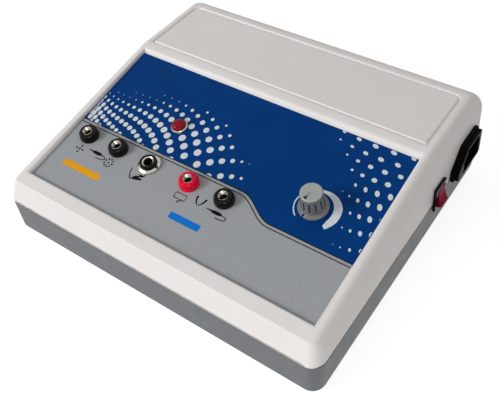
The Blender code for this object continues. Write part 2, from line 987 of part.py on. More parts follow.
def socket_sleeve(name, x):
    top = collar_height - 0.25 * MM
    shelf = top - sleeve_flange_height
    made = turned(
        name,
        nickel,
        panel,
        [
            (0, top - sleeve_depth),
            (sleeve_bore_radius, top - sleeve_depth),
            (sleeve_bore_radius, top - 1.9 * MM),
            (sleeve_flange_radius - 0.3 * MM, top),
            (sleeve_flange_radius, top - 0.3 * MM),
            (sleeve_flange_radius, shelf),
            (sleeve_radius, shelf),
            (sleeve_radius, -stem_length - 1.5 * MM),
            (tail_radius, -stem_length - 1.5 * MM),
            (tail_radius, -stem_length - tail_length),
            (0, -stem_length - tail_length),
        ],
        (x, socket_up, 0),
        16,
    )
    slot = box(
        name + "_slot",
        None,
        panel,
        (x - collar_radius, socket_up - sleeve_slot / 2, top - sleeve_depth * 0.6),
        (x, socket_up + sleeve_slot / 2, collar_height + overshoot),
    )
    boolean(made, slot)
    return made


for socket_name, socket_x in socket_places.items():
    coat = red_plastic if socket_name == "patient_plate" else black_plastic
    socket_collar("socket_" + socket_name, socket_x, coat)
    socket_sleeve("sleeve_" + socket_name, socket_x)
    nut(
        "socket_nut_" + socket_name,
        (socket_x, socket_up),
        stem_nut_across,
        stem_radius + seat_gap,
        nut_low,
        nut_high,
    )


# Foot switch jack: a bushing on a closed box, its contact ring, and the nut that holds it
jack_body = turned(
    "jack_body",
    black_plastic,
    panel,
    [
        (jack_bushing_radius - 0.5 * MM, jack_height),
        (jack_bushing_radius, jack_height - 0.5 * MM),
        (jack_bushing_radius, nut_high - MM),
        (jack_ring_radius + seat_gap, nut_high - MM),
        (jack_ring_radius + seat_gap, jack_height),
    ],
    (jack_x, jack_up, 0),
    24,
    ring=True,
)
jack_box_high = nut_high
jack_box_helper = box(
    "jack_box",
    None,
    panel,
    (jack_x - jack_box / 2, jack_up - jack_box / 2, jack_box_high - jack_box_depth),
    (jack_x + jack_box / 2, jack_up + jack_box / 2, jack_box_high),
)
jack_box_bore = cylinders(
    "jack_box_bore",
    None,
    panel,
    [(jack_x, jack_up)],
    jack_ring_radius + seat_gap,
    jack_box_high - jack_box_depth + 2 * MM,
    jack_height + overshoot,
    24,
)
boolean(jack_body, jack_box_helper, "UNION")
boolean(jack_body, jack_box_bore)
turned(
    "jack_contact_ring",
    nickel,
    panel,
    [
        (jack_ring_radius, jack_height - jack_ring_recess),
        (jack_ring_radius, jack_box_high - jack_box_depth + 2 * MM + seat_gap),
        (jack_bore_radius, jack_box_high - jack_box_depth + 2 * MM + seat_gap),
        (jack_bore_radius, jack_height - jack_ring_recess - 0.4 * MM),
    ],
    (jack_x, jack_up, 0),
    20,
    ring=True,
)
jack_nut = turned(
    "jack_nut",
    nickel,
    panel,
    [
        (jack_nut_radius - 1.4 * MM, jack_nut_height),
        (jack_nut_radius, jack_nut_height * 0.5),
        (jack_nut_radius, seat_gap),
        (jack_bushing_radius + seat_gap, seat_gap),
        (jack_bushing_radius + seat_gap, jack_nut_height),
    ],
    (jack_x, jack_up, 0),
    28,
    ring=True,
)
jack_nut_slots = box(
    "jack_nut_slots",
    None,
    panel,
    (jack_x - jack_nut_radius - overshoot, jack_up - spanner_slot / 2, jack_nut_height * 0.55),
    (jack_x + jack_nut_radius + overshoot, jack_up + spanner_slot / 2, jack_nut_height + overshoot),
)
boolean(jack_nut, jack_nut_slots)


# Indicator lamp: a plated bezel with a threaded stem, a domed lens and a rear nut
lens_bore = lens_stem_radius + seat_gap
turned(
    "indicator_bezel",
    nickel,
    panel,
    [
        (lamp_bezel_radius - 0.5 * MM, lamp_bezel_height),
        (lamp_bezel_radius, lamp_bezel_height * 0.6),
        (lamp_bezel_radius, seat_gap),
        (lamp_stem_radius, seat_gap),
        (lamp_stem_radius, -lamp_stem_length),
        (lens_bore, -lamp_stem_length),
        (lens_bore, lamp_bezel_height - 0.7 * MM),
        (lens_radius + seat_gap, lamp_bezel_height - 0.7 * MM),
        (lens_radius + seat_gap, lamp_bezel_height),
    ],
    (lamp_x, lamp_up, 0),
    24,
    ring=True,
)
lens_seat = lamp_bezel_height - 0.7 * MM + seat_gap
lens_dome = [
    (lens_radius * math.cos(a), lens_seat + 0.8 * MM + (lens_height - 0.8 * MM) * math.sin(a))
    for a in (math.radians(d) for d in (90, 72, 54, 36, 18, 0))
]
turned(
    "indicator_lens",
    red_lens,
    panel,
    lens_dome
    + [
        (lens_radius, lens_seat),
        (lens_stem_radius, lens_seat),
        (lens_stem_radius, -lens_stem_length),
        (0, -lens_stem_length),
    ],
    (lamp_x, lamp_up, 0),
    24,
)
nut(
    "indicator_nut",
    (lamp_x, lamp_up),
    lamp_nut_across,
    lamp_stem_radius + seat_gap,
    nut_low,
    nut_high,
)


# Potentiometer: the body hangs behind the panel, its bushing comes through, and the shaft
# carries the knob
pot_high = nut_high
pot_body = turned(
    "potentiometer",
    steel,
    panel,
    [
        (bushing_radius, bushing_height),
        (bushing_radius, pot_high),
        (pot_radius, pot_high),
        (pot_radius, pot_high - pot_depth),
        (shaft_radius + running_gap, pot_high - pot_depth),
        (shaft_radius + running_gap, bushing_height),
    ],
    (knob_x, knob_up, 0),
    24,
    ring=True,
)
pot_tabs = place(
    "pot_tabs",
    boxes_mesh(
        "pot_tabs",
        [
            (
                (knob_x + offset - pot_tab / 2, knob_up - pot_radius - 5 * MM, pot_high - 3 * MM),
                (knob_x + offset + pot_tab / 2, knob_up - pot_radius + 2 * MM, pot_high - 2 * MM),
            )
            for offset in (-5 * MM, 0, 5 * MM)
        ],
    ),
    None,
    panel,
)
boolean(pot_body, pot_tabs, "UNION")
nut(
    "potentiometer_nut",
    (knob_x, knob_up),
    pot_nut_across,
    bushing_radius + seat_gap,
    seat_gap,
    seat_gap + 2 * MM,
)

knob_axle = frame("knob_axle", (knob_x, knob_up, 0), (0, 0, knob_rest_turn), panel)
shaft_low = pot_high - pot_depth
turned(
    "potentiometer_shaft",
    steel,
    knob_axle,
    [(0, shaft_length), (shaft_radius, shaft_length), (shaft_radius, shaft_low), (0, shaft_low)],
    steps=20,
)
skirt_low = 0.6 * MM
cap_under = knob_height - knob_cap_thickness
knob_top = cap_under - seat_gap
plug_low = knob_top - knob_plug_depth
knob = turned(
    "knob",
    knob_grey,
    knob_axle,
    [
        (0, plug_low - seat_gap),
        (knob_plug_radius + seat_gap, plug_low - seat_gap),
        (knob_plug_radius + seat_gap, knob_top),
        (knob_radius - 0.3 * MM, knob_top),
        (knob_radius, knob_top - 0.3 * MM),
        (knob_radius, skirt_low + skirt_height + 0.3 * MM),
        (skirt_radius - 0.8 * MM, skirt_low + skirt_height),
        (skirt_radius, skirt_low + skirt_height * 0.6),
        (skirt_radius, skirt_low),
        (pot_nut_across / math.sqrt(3) + running_gap, skirt_low),
        (pot_nut_across / math.sqrt(3) + running_gap, bushing_height + running_gap),
        (shaft_radius + seat_gap, bushing_height + running_gap),
        (shaft_radius + seat_gap, shaft_length + seat_gap),
        (0, shaft_length + seat_gap),
    ],
    steps=36,
)
flute_low = skirt_low + skirt_height + 1.2 * MM
flutes = cylinders(
    "knob_flutes",
    None,
    knob_axle,
    [
        (
            (knob_radius + flute_offset) * math.sin(2 * math.pi * i / flute_count),
            (knob_radius + flute_offset) * math.cos(2 * math.pi * i / flute_count),
        )
        for i in range(flute_count)
    ],
    flute_radius,
    flute_low,
    flute_low + flute_length,
    8,
)
boolean(knob, flutes)
index_notch = box(
    "index_notch",
    None,
    knob_axle,
    (-pointer_width / 2, knob_radius + 0.6 * MM, skirt_low - overshoot),
    (pointer_width / 2, skirt_radius + overshoot, skirt_low + skirt_height + overshoot),
)
boolean(knob, index_notch)
knob_cap = turned(
    "knob_cap",
    cap_grey,
    knob_axle,
    [
        (0, knob_height),
        (knob_cap_radius - 0.4 * MM, knob_height),
        (knob_cap_radius, knob_height - 0.4 * MM),
        (knob_cap_radius, cap_under),
        (knob_plug_radius, cap_under),
        (knob_plug_radius, plug_low),
        (0, plug_low),
    ],
    steps=32,
)
pointer_slot = box(
    "pointer_slot",
    None,
    knob_axle,
    (
        -pointer_width / 2 - seat_gap / 3,
        pointer_distance - pointer_length / 2 - seat_gap / 3,
        knob_height - pointer_thickness,
    ),
    (
        pointer_width / 2 + seat_gap / 3,
        pointer_distance + pointer_length / 2 + seat_gap / 3,
        knob_height + overshoot,
    ),
)
boolean(knob_cap, pointer_slot)

# Rocker switch: a bezel with the switch body behind it, and the paddle that rocks in it
rocker_bezel = box(
    "rocker_bezel",
    black_plastic,
    rocker_wall,
    (seat_gap, -rocker_bezel_width / 2, -rocker_bezel_length / 2),
    (rocker_bezel_height, rocker_bezel_width / 2, rocker_bezel_length / 2),
)
rocker_body = box(
    "rocker_body",
    None,
    rocker_wall,
    (-rocker_body_depth, -rocker_body_width / 2, -rocker_body_length / 2),
    (rocker_bezel_height / 2, rocker_body_width / 2, rocker_body_length / 2),
)
mouth_half_length = paddle_reach + running_gap
rocker_mouth = box(
    "rocker_mouth",
    None,
    rocker_wall,
    (-rocker_mouth_depth, -rocker_mouth_width / 2, -mouth_half_length),
    (rocker_bezel_height + overshoot, rocker_mouth_width / 2, mouth_half_length),
)
trunnion_span = rocker_mouth_width / 2 + trunnion_length
pivot_bore = bmesh.new()
bmesh.ops.create_cone(
    pivot_bore,
    cap_ends=True,
    segments=16,
    radius1=trunnion_radius + running_gap / 2,
    radius2=trunnion_radius + running_gap / 2,
    depth=2 * (trunnion_span + seat_gap / 2),
    matrix=Matrix.Translation((paddle_pivot_out, 0, 0)) @ Matrix.Rotation(math.pi / 2, 4, "X"),
)
pivot_bore = place("pivot_bore", mesh_from(pivot_bore, "pivot_bore"), None, rocker_wall)
boolean(rocker_bezel, rocker_body, "UNION")
boolean(rocker_bezel, rocker_mouth)
boolean(rocker_bezel, pivot_bore)

paddle_pivot = frame("paddle_pivot", (paddle_pivot_out, 0, 0), (0, -paddle_swing, 0), rocker_wall)
paddle_end = math.degrees(math.asin(paddle_rise / paddle_reach))
paddle_foot = -math.degrees(math.asin(paddle_drop / paddle_reach))


def paddle_outline():
    """Side view of the paddle, as (outward, up) about its pivot: two dished faces between
    ends that are struck from the pivot."""
    top = [(s, u) for u, s in arc((0, 0), paddle_reach, paddle_foot, paddle_end, 5)]
    face = []
    tip = paddle_reach * math.cos(math.radians(paddle_end))
    for step in range(1, 6):
        up = tip * (1 - step / 3)
        face.append((paddle_rise - paddle_dip * (1 - (up / tip) ** 2), up))
    bottom = [(s, -u) for s, u in reversed(top)]
    return top + face + bottom


paddle_half = rocker_mouth_width / 2 - running_gap
rocker_paddle = place(
    "rocker_paddle",
    plate_mesh("rocker_paddle", [paddle_outline()], -paddle_half, paddle_half),
    rocker_red,
    paddle_pivot,
    rotation=(-math.pi / 2, 0, 0),
)
rocker_paddle.rotation_euler = (math.pi / 2, 0, 0)
trunnions = bmesh.new()
bmesh.ops.create_cone(
    trunnions,
    cap_ends=True,
    segments=16,
    radius1=trunnion_radius,
    radius2=trunnion_radius,
    depth=2 * trunnion_span,
    matrix=Matrix.Rotation(math.pi / 2, 4, "X"),
)
trunnions = place("trunnions", mesh_from(trunnions, "trunnions"), None, paddle_pivot)
boolean(rocker_paddle, trunnions, "UNION")


def blade(name, at, root, tip, width, thickness, parent):
    """A flat contact tab that runs inward from the back of a fitting."""
    y, z = at
    low = (tip, y - width / 2, z - thickness / 2)
    high = (root, y + width / 2, z + thickness / 2)
    return box(name, brass, parent, low, high)


rocker_tab_root = -rocker_body_depth - seat_gap / 3
for tab_z, place_name in ((-tab_pitch / 2, "lower"), (tab_pitch / 2, "upper")):
    blade(
        "rocker_terminal_" + place_name,
        (0, tab_z),
        rocker_tab_root,
        rocker_tab_root - tab_length,
        tab_width,
        tab_thickness,
        rocker_wall,
    )


# Mains inlet: a two-step flange, a body through the wall, a pin cavity and three pins
def flange_outline(inset):
    """Front view of the flange, as (back, up): square but for one long chamfer at the front."""
    half_y = inlet_width / 2 - inset
    half_z = inlet_length / 2 - inset
    chamfer = inlet_chamfer - inset * (2 - math.sqrt(2))
    return [
        (half_y - inlet_corner, -half_z),
        (half_y, -half_z + inlet_corner),
        (half_y, half_z),
        (-half_y + chamfer, half_z),
        (-half_y, half_z - chamfer),
        (-half_y, -half_z),
    ]


inlet_body = plate("inlet_body", black_plastic, inlet_wall, [flange_outline(0)], seat_gap, inlet_flange, SIDEWAYS)
inlet_face = plate(
    "inlet_face", None, inlet_wall, [flange_outline(inlet_step)], inlet_flange / 2, inlet_rise, SIDEWAYS
)
inlet_shank = plate(
    "inlet_shank",
    None,
    inlet_wall,
    [mouth_outline(inlet_body_wall)],
    -inlet_body_depth,
    inlet_flange / 2,
    SIDEWAYS,
)
inlet_mouth = plate(
    "inlet_mouth",
    None,
    inlet_wall,
    [mouth_outline(0)],
    inlet_rise - inlet_mouth_depth,
    inlet_rise + overshoot,
    SIDEWAYS,
)
pin_places = [
    (inlet_mouth_shift - pin_spacing, -pin_offset),
    (inlet_mouth_shift + pin_spacing, -pin_offset),
    (inlet_mouth_shift, pin_offset),
]
pin_slots = place(
    "pin_slots",
    boxes_mesh(
        "pin_slots",
        [
            (
                (
                    -inlet_body_depth - overshoot,
                    y - pin_thickness / 2 - seat_gap / 2,
                    z - pin_width / 2 - seat_gap / 2,
                ),
                (
                    inlet_rise - inlet_mouth_depth + overshoot,
                    y + pin_thickness / 2 + seat_gap / 2,
                    z + pin_width / 2 + seat_gap / 2,
                ),
            )
            for y, z in pin_places
        ],
    ),
    None,
    inlet_wall,
)
boolean(inlet_body, inlet_face, "UNION")
boolean(inlet_body, inlet_shank, "UNION")
boolean(inlet_body, inlet_mouth)
boolean(inlet_body, pin_slots)
pin_tip = inlet_rise - inlet_mouth_depth + pin_length
for at, place_name in zip(pin_places, ("front", "rear", "earth")):
    blade(
        "inlet_pin_" + place_name,
        at,
        pin_tip,
        -inlet_body_depth - tab_length,
        pin_thickness,
        pin_width,
        inlet_wall,
    )


# Circuit board and its parts
local_holes = [(x - board_x, y - board_y) for x, y in board_holes]
board_outline = rounded_outline(board_width / 2, board_depth / 2, 2 * MM, steps=2)
plate(
    "circuit_board",
    board_green,
    board,
    [board_outline] + [circle(at, board_screw_radius + seat_gap, 10) for at in local_holes],
    0,
    board_thickness,
)
board_top = board_thickness + seat_gap
for at, place_name in zip(local_holes, ("front_left", "rear_left", "front_right", "rear_right")):
    screw(
        "board_screw_" + place_name,
        board,
        at,
        board_screw_radius,
        board_head_radius,
        board_head_height,
        board_top,
        board_thickness - standoff_height,
    )

fin_pitch = (heat_sink_width - fin_thickness) / (fin_count - 1)
heat_sink = box(
    "heat_sink",
    aluminium,
    board,
    (sink_x - heat_sink_width / 2, sink_y, board_top),
    (sink_x + heat_sink_width / 2, sink_y + heat_sink_depth, board_top + heat_sink_height),
)
fin_gaps = place(
    "fin_gaps",
    boxes_mesh(
        "fin_gaps",
        [
            (
                (
                    sink_x - heat_sink_width / 2 + fin_thickness + i * fin_pitch,
                    sink_y + fin_thickness * 2,
                    board_top - overshoot,
                ),
                (
                    sink_x - heat_sink_width / 2 + (i + 1) * fin_pitch,
                    sink_y + heat_sink_depth + overshoot,
                    board_top + heat_sink_height + overshoot,
                ),
            )
            for i in range(fin_count - 1)
        ],
    ),
    None,
    board,
)
boolean(heat_sink, fin_gaps)
box(
    "power_transistor",
    black_plastic,
    board,
    (sink_x - transistor_width / 2, sink_y - seat_gap - transistor_thickness, board_top),
    (sink_x + transistor_width / 2, sink_y - seat_gap, board_top + transistor_height),
)
box(
    "relay",
    case_blue,
    board,
    (relay_x, relay_y, board_top),
    (relay_x + relay_width, relay_y + relay_depth, board_top + relay_height),
)
for index in range(2):
    cylinders(
        "capacitor_" + str(index + 1),
        black_plastic,
        board,
        [(capacitor_x + index * capacitor_pitch, capacitor_y)],
        capacitor_radius,
        board_top,
        board_top + capacitor_height,
        16,
    )
turned(
    "output_coil_former",
    black_plastic,
    board,
    [
        (coil_outer_radius, board_top + coil_height),
        (coil_outer_radius, board_top + coil_height - coil_flange),
        (coil_former_radius, board_top + coil_height - coil_flange),
        (coil_former_radius, board_top + coil_flange),
        (coil_outer_radius, board_top + coil_flange),
        (coil_outer_radius, board_top),
        (coil_former_radius - 2 * MM, board_top),
        (coil_former_radius - 2 * MM, board_top + coil_height),
    ],
    (coil_x, coil_y, 0),
    24,
    ring=True,
)
turned(
    "output_coil_winding",
    winding,
    board,
    [
        (coil_outer_radius - MM, board_top + coil_height - coil_flange - seat_gap),
        (coil_outer_radius - MM, board_top + coil_flange + seat_gap),
        (coil_former_radius + seat_gap, board_top + coil_flange + seat_gap),
        (coil_former_radius + seat_gap, board_top + coil_height - coil_flange - seat_gap),
    ],
    (coil_x, coil_y, 0),
    24,
    ring=True,
)


# Mains transformer: a laminated core, the winding round its centre leg and a strap
window_half = core_width / 2 - core_leg
core_low = 0
window_low = core_leg
window_high = core_height - core_leg


def window(sign):
    inner = core_leg * sign
    outer = window_half * sign
    return [(inner, window_low), (outer, window_low), (outer, window_high), (inner, window_high)]


core_outline = [
    (-core_width / 2, core_low),
    (core_width / 2, core_low),
    (core_width / 2, core_height),
    (-core_width / 2, core_height),
]
plate(
    "transformer_core",
    core_steel,
    transformer,
    [core_outline, window(-1), window(1)],
    -core_depth / 2,
    core_depth / 2,
    UPRIGHT,
)
plate(
    "transformer_winding",
    winding,
    transformer,
    [
        rounded_outline(window_half - seat_gap, core_depth / 2 + coil_overhang, 3 * MM, steps=3),
        rounded_outline(core_leg + seat_gap, core_depth / 2 + seat_gap, 0.2 * MM, steps=1),
    ],
    window_low + seat_gap,
    window_high - seat_gap,
)
strap_inner = core_width / 2 + seat_gap
strap_top = core_height + seat_gap
strap_outline = [
    (-strap_half - strap_ear, 0),
    (-strap_inner, 0),
    (-strap_inner, strap_top),
    (strap_inner, strap_top),
    (strap_inner, 0),
    (strap_half + strap_ear, 0),
    (strap_half + strap_ear, strap_thickness),
    (strap_half, strap_thickness),
    (strap_half, strap_top + strap_thickness),
    (-strap_half, strap_top + strap_thickness),
    (-strap_half, strap_thickness),
    (-strap_half - strap_ear, strap_thickness),
]
strap = plate(
    "transformer_strap", steel, transformer, [strap_outline], -strap_width / 2, strap_width / 2, UPRIGHT
)
local_strap_places = [(x - transformer_x, y - transformer_y) for x, y in strap_places]
strap_bores = cylinders(
    "strap_bores",
    None,
    transformer,
    local_strap_places,
    strap_screw_radius + seat_gap,
    -overshoot,
    strap_thickness + overshoot,
    12,
)
boolean(strap, strap_bores)
for at, place_name in zip(local_strap_places, ("left", "right")):
    screw(
        "strap_screw_" + place_name,
        transformer,
        at,
        strap_screw_radius,
        board_head_radius,
        board_head_height,
        strap_thickness + seat_gap,
        -seat_gap - plinth_height,
    )
bpy.context.view_layer.update()
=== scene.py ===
import math

import bmesh
import bpy
import numpy as np
from mathutils import Matrix, Vector


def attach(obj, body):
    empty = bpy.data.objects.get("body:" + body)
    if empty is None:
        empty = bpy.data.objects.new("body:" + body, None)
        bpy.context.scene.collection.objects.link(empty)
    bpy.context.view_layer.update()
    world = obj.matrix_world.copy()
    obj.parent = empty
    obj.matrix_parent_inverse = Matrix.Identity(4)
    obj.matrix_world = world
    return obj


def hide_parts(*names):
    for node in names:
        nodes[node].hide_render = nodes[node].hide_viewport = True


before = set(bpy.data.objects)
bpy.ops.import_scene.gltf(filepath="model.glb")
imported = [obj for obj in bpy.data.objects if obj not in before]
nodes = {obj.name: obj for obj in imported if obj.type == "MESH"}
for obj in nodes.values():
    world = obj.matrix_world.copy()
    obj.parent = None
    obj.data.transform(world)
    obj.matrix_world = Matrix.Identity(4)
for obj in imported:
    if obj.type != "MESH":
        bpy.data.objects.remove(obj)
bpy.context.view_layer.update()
MM = 0.001


# Lower case half. The real one is an injection moulded tray in mid grey ABS with a fine
# spark-eroded grain. The upper half drops over its lip and screws hold the two together.
def linear(channel):
    return channel / 12.92 if channel <= 0.04045 else ((channel + 0.055) / 1.055) ** 2.4


def shade(colour, lift=1.0):
    """An sRGB hex colour as Blender's linear colour, made lighter or darker by a factor."""
    return tuple(min(linear(int(colour[i : i + 2], 16) / 255) * lift, 1) for i in (1, 3, 5)) + (1,)


def feed(tree, node, inputs):
    """Gives a node's inputs their values or links."""
    for socket, given in inputs.items():
        if isinstance(given, bpy.types.NodeSocket):
            tree.links.new(given, node.inputs[socket])
        else:
            node.inputs[socket].default_value = given


def add(tree, kind, inputs=None, **settings):
    """Adds one node with its settings, and feeds its inputs."""
    made = tree.nodes.new(kind)
    for setting, value in settings.items():
        setattr(made, setting, value)
    feed(tree, made, inputs or {})
    return made


def blank_material(name):
    """(material, its node tree, its Principled shader, object coordinates in mm)"""
    made = bpy.data.materials.new(name)
    made.use_nodes = True
    tree = made.node_tree
    place = add(tree, "ShaderNodeTexCoord")
    scaled = {"Vector": place.outputs["Object"], "Scale": (1 / MM,) * 3}
    in_mm = add(tree, "ShaderNodeMapping", scaled)
    return made, tree, tree.nodes["Principled BSDF"], in_mm.outputs["Vector"]


def patches(tree, mm, size, low=0.0, high=1.0, detail=2.0):
    """Values that drift softly between two limits, in patches of a size in mm."""
    flow = add(tree, "ShaderNodeTexNoise", {"Vector": mm, "Scale": 1 / size, "Detail": detail})
    limits = {"From Min": 0.3, "From Max": 0.7, "To Min": low, "To Max": high}
    return add(tree, "ShaderNodeMapRange", {"Value": flow.outputs["Fac"], **limits}).outputs[0]


def grained(tree, shader, mm, size, depth, detail=2.0):
    """Roughens a surface with a grain of a size and a depth in mm."""
    lumps = add(tree, "ShaderNodeTexNoise", {"Vector": mm, "Scale": 1 / size, "Detail": detail})
    skin = add(tree, "ShaderNodeBump", {"Height": lumps.outputs["Fac"], "Distance": depth * MM})
    feed(tree, shader, {"Normal": skin.outputs["Normal"]})


def moulded(name, colour, roughness, grain=0.45, depth=0.012, cloud=0.03, specular=0.5, rub_and_highlight=0.05):
    """Moulded plastic: a grain, a faint cloudiness, and edges paler and smoother: rubbed wear
    and a painted highlight. Real grains are some three times as fine, too fine to show here."""
    made, tree, shader, mm = blank_material(name)
    cloudy = {0: patches(tree, mm, 22), 6: shade(colour, 1 - cloud), 7: shade(colour, 1 + cloud)}
    tint = add(tree, "ShaderNodeMix", cloudy, data_type="RGBA")
    # The edge mask below makes edges paler: partly rubbed wear, partly a painted highlight.
    looking = {"inside": True, "only_local": True, "samples": 8}
    near_edge = add(tree, "ShaderNodeAmbientOcclusion", {"Distance": 0.8 * MM}, **looking)
    worn_and_highlit = {"Value": near_edge.outputs["AO"], "From Min": 0.5, "From Max": 0.9}
    worn_and_highlit |= {"To Min": 1.0, "To Max": 0.0}
    edge = add(tree, "ShaderNodeMapRange", worn_and_highlit).outputs[0]
    rubbed_and_highlit = {0: edge, 6: tint.outputs[2], 7: shade(colour, 1 + rub_and_highlight)}
    finish = add(tree, "ShaderNodeMix", rubbed_and_highlit, data_type="RGBA")
    gloss = patches(tree, mm, 6, roughness - 0.04, roughness + 0.05)
    polish = add(tree, "ShaderNodeMath", {0: edge, 1: -0.08, 2: gloss}, operation="MULTIPLY_ADD")
    surface = {"Base Color": finish.outputs[2], "Roughness": polish.outputs[0]}
    feed(tree, shader, surface | {"Specular IOR Level": specular})
    grained(tree, shader, mm, grain, depth, 3.0)
    return made


def rounding_tree():
    """Geometry nodes that join a CAD node's loose triangles and smooth all but its hard edges."""
    tree = bpy.data.node_groups.new("moulding_edges", "GeometryNodeTree")
    tree.interface.new_socket("solid", in_out="INPUT", socket_type="NodeSocketGeometry")
    limit = tree.interface.new_socket("hard angle", in_out="INPUT", socket_type="NodeSocketFloat")
    tree.interface.new_socket("solid", in_out="OUTPUT", socket_type="NodeSocketGeometry")
    given = add(tree, "NodeGroupInput")
    joined = {"Geometry": given.outputs["solid"], "Distance": 0.002 * MM}
    join = add(tree, "GeometryNodeMergeByDistance", joined)
    faces = add(tree, "GeometryNodeSetShadeSmooth", {"Geometry": join.outputs["Geometry"]})
    angle = add(tree, "GeometryNodeInputMeshEdgeAngle")
    sides = {0: angle.outputs["Unsigned Angle"], 1: given.outputs["hard angle"]}
    hard = add(tree, "FunctionNodeCompare", sides, operation="GREATER_THAN")
    crisp = {"Geometry": faces.outputs["Geometry"], "Selection": hard.outputs["Result"]}
    crisp["Shade Smooth"] = False
    edges = add(tree, "GeometryNodeSetShadeSmooth", crisp, domain="EDGE")
    add(tree, "NodeGroupOutput", {"solid": edges.outputs["Geometry"]})
    return tree, limit.identifier


moulding_edges, hard_angle = rounding_tree()


def coated(piece, material):
    """Gives a piece its one material, and shades its flats evenly."""
    piece.data.materials.clear()
    piece.data.materials.append(material)
    level = piece.modifiers.new("level", "WEIGHTED_NORMAL")
    level.keep_sharp = True


def dress(material, *names, hard=32.0):
    """Gives CAD nodes their material and smooth roundings."""
    for name in names:
        smooth = nodes[name].modifiers.new("moulding_edges", "NODES")
        smooth.node_group = moulding_edges
        smooth[hard_angle] = math.radians(hard)
        coated(nodes[name], material)


# Spark-eroded grey ABS: a soft, even sheen that shows the form and no reflections.
grey_abs = moulded("spark_eroded_grey_abs", "#616468", 0.5, grain=0.5, depth=0.018)
dress(grey_abs, "lower_shell")


# Upper case half. The real one is one moulding in off-white ABS: its front wall leans back to a
# crisp crease, its sides and rear roll in to theirs, and the sunk panel has a rounded rim.
case_middle = -2.763  # the case stands left of the origin, as the inlet stands out to its right
half_width, front_y, rear_y = 120.0, -108.75, 108.75
case_wall = 2.5
split_z, upper_z, seam = 29.3, 29.6, 0.25
front_z, top_z, slope_run = 43.25, 69.6, 143.2
front_slant, wall_slant = math.tan(math.radians(21)), math.tan(math.radians(3.3))
roll_drop, side_roll, rear_roll = 13.95, 5.6, 11.9
roll_radius = (roll_drop**2 + side_roll**2) / (2 * side_roll)
corner_radius, crease_corner = 8.5, 3.5
crease = 10  # the point of each half ring where the slope meets the flat top
settling = 5  # rounds that bring a leaning wall's top to the roof over it
front_edge, side_edge, foot_edge = 0.45, 2.4, 0.4
rolled = (0.8, 0.84)  # the parts of the roll at which a soft side starts to turn over
panel_tilt = math.atan((top_z - front_z) / slope_run)
panel_depth = 2.9
panel_corner = Vector((case_middle, front_y, front_z - panel_depth / math.cos(panel_tilt)))


def roof(y):
    """Height of the sloping panel and the flat top, at a place from front to rear."""
    return min(front_z + (top_z - front_z) * (y - front_y) / slope_run, top_z)


def case_ring(inset, part, foot=None, over=0.0, dip=0.0):
    """One ring of the moulding, part of the way up the roll: drawn in by an inset of the wall and
    by a small step over the edge, and down by a dip. A foot is the level of the lowest ring."""
    radius = roll_radius - inset
    end = math.asin((roll_drop - inset) / radius)
    side_in = radius * (1 - math.cos(end * part))
    drop = inset + radius * (math.sin(end) - math.sin(end * part)) + dip
    share = side_in / side_roll
    corner = max(corner_radius - inset - (corner_radius - crease_corner) * share, 0.6)
    half = half_width - inset - side_in - over
    low, high = front_y + inset + over, rear_y - inset - rear_roll * share - over
    ring = []
    turns = [(low + corner, -90 + 10 * k, front_slant) for k in range(crease)]
    turns += [(high - corner, 10 * k, -wall_slant) for k in range(crease)]
    for k, (y, angle, slant) in enumerate(turns):
        if k == crease:
            ring.append((half, front_y + slope_run, 0))
        x = half - corner + corner * math.cos(math.radians(angle))
        ring.append((x, y + corner * math.sin(math.radians(angle)), slant))
    placed = []
    for x, y, slant in ring:
        height = foot if foot is not None else roof(y) - drop
        for _ in range(settling if foot is None else 0):
            height = roof(y + slant * (height - split_z)) - drop
        rise = max(height - split_z, 0)
        placed.append((x - wall_slant * rise, y + slant * rise, height))
    return placed + [(-x, y, z) for x, y, z in reversed(placed)]


def in_scene(name, data):
    """A new object in the scene for this data."""
    made = bpy.data.objects.new(name, data)
    bpy.context.scene.collection.objects.link(made)
    return made


def as_solid(name, made):
    """The bmesh as an object of this name, its faces turned outward."""
    bmesh.ops.recalc_face_normals(made, faces=made.faces)
    mesh = bpy.data.meshes.new(name)
    made.to_mesh(mesh)
    made.free()
    return in_scene(name, mesh)


def walled(made, rings, closed=False):
    """Rows of mesh points on rings of (x, y, z) in mm, with walls from each row to the next."""
    rows = [[made.verts.new(Vector(point) * MM) for point in ring] for ring in rings]
    for lower, upper in zip(rows, rows[1:] + (rows[:1] if closed else [])):
        for k in range(len(lower)):
            after = (k + 1) % len(lower)
            made.faces.new((lower[k], lower[after], upper[after], upper[k]))
    return rows


def lofted(name, rings, caps=None):
    """A closed solid through its rings, with its own faces over the last of them."""
    made = bmesh.new()
    rows = walled(made, rings)
    made.faces.new(rows[0][::-1])
    for cap in caps or [range(len(rows[0]))]:
        made.faces.new([rows[-1][k] for k in cap])
    return as_solid(name, made)


def on_case(points):
    """Points of the case, in mm, moved to where the case stands."""
    return [(x + case_middle, y, z) for x, y, z in points]


def on_slope(x, up, out):
    """A point of the panel: x, distance up the slope from the front, height over the label."""
    return panel_corner + Matrix.Rotation(panel_tilt, 3, "X") @ Vector((x, up, out))


def mixed(first, second, shares):
    """A ring part of the way from one to another, with a share for each point."""
    return [tuple(Vector(a).lerp(Vector(b), share)) for a, b, share in zip(first, second, shares)]


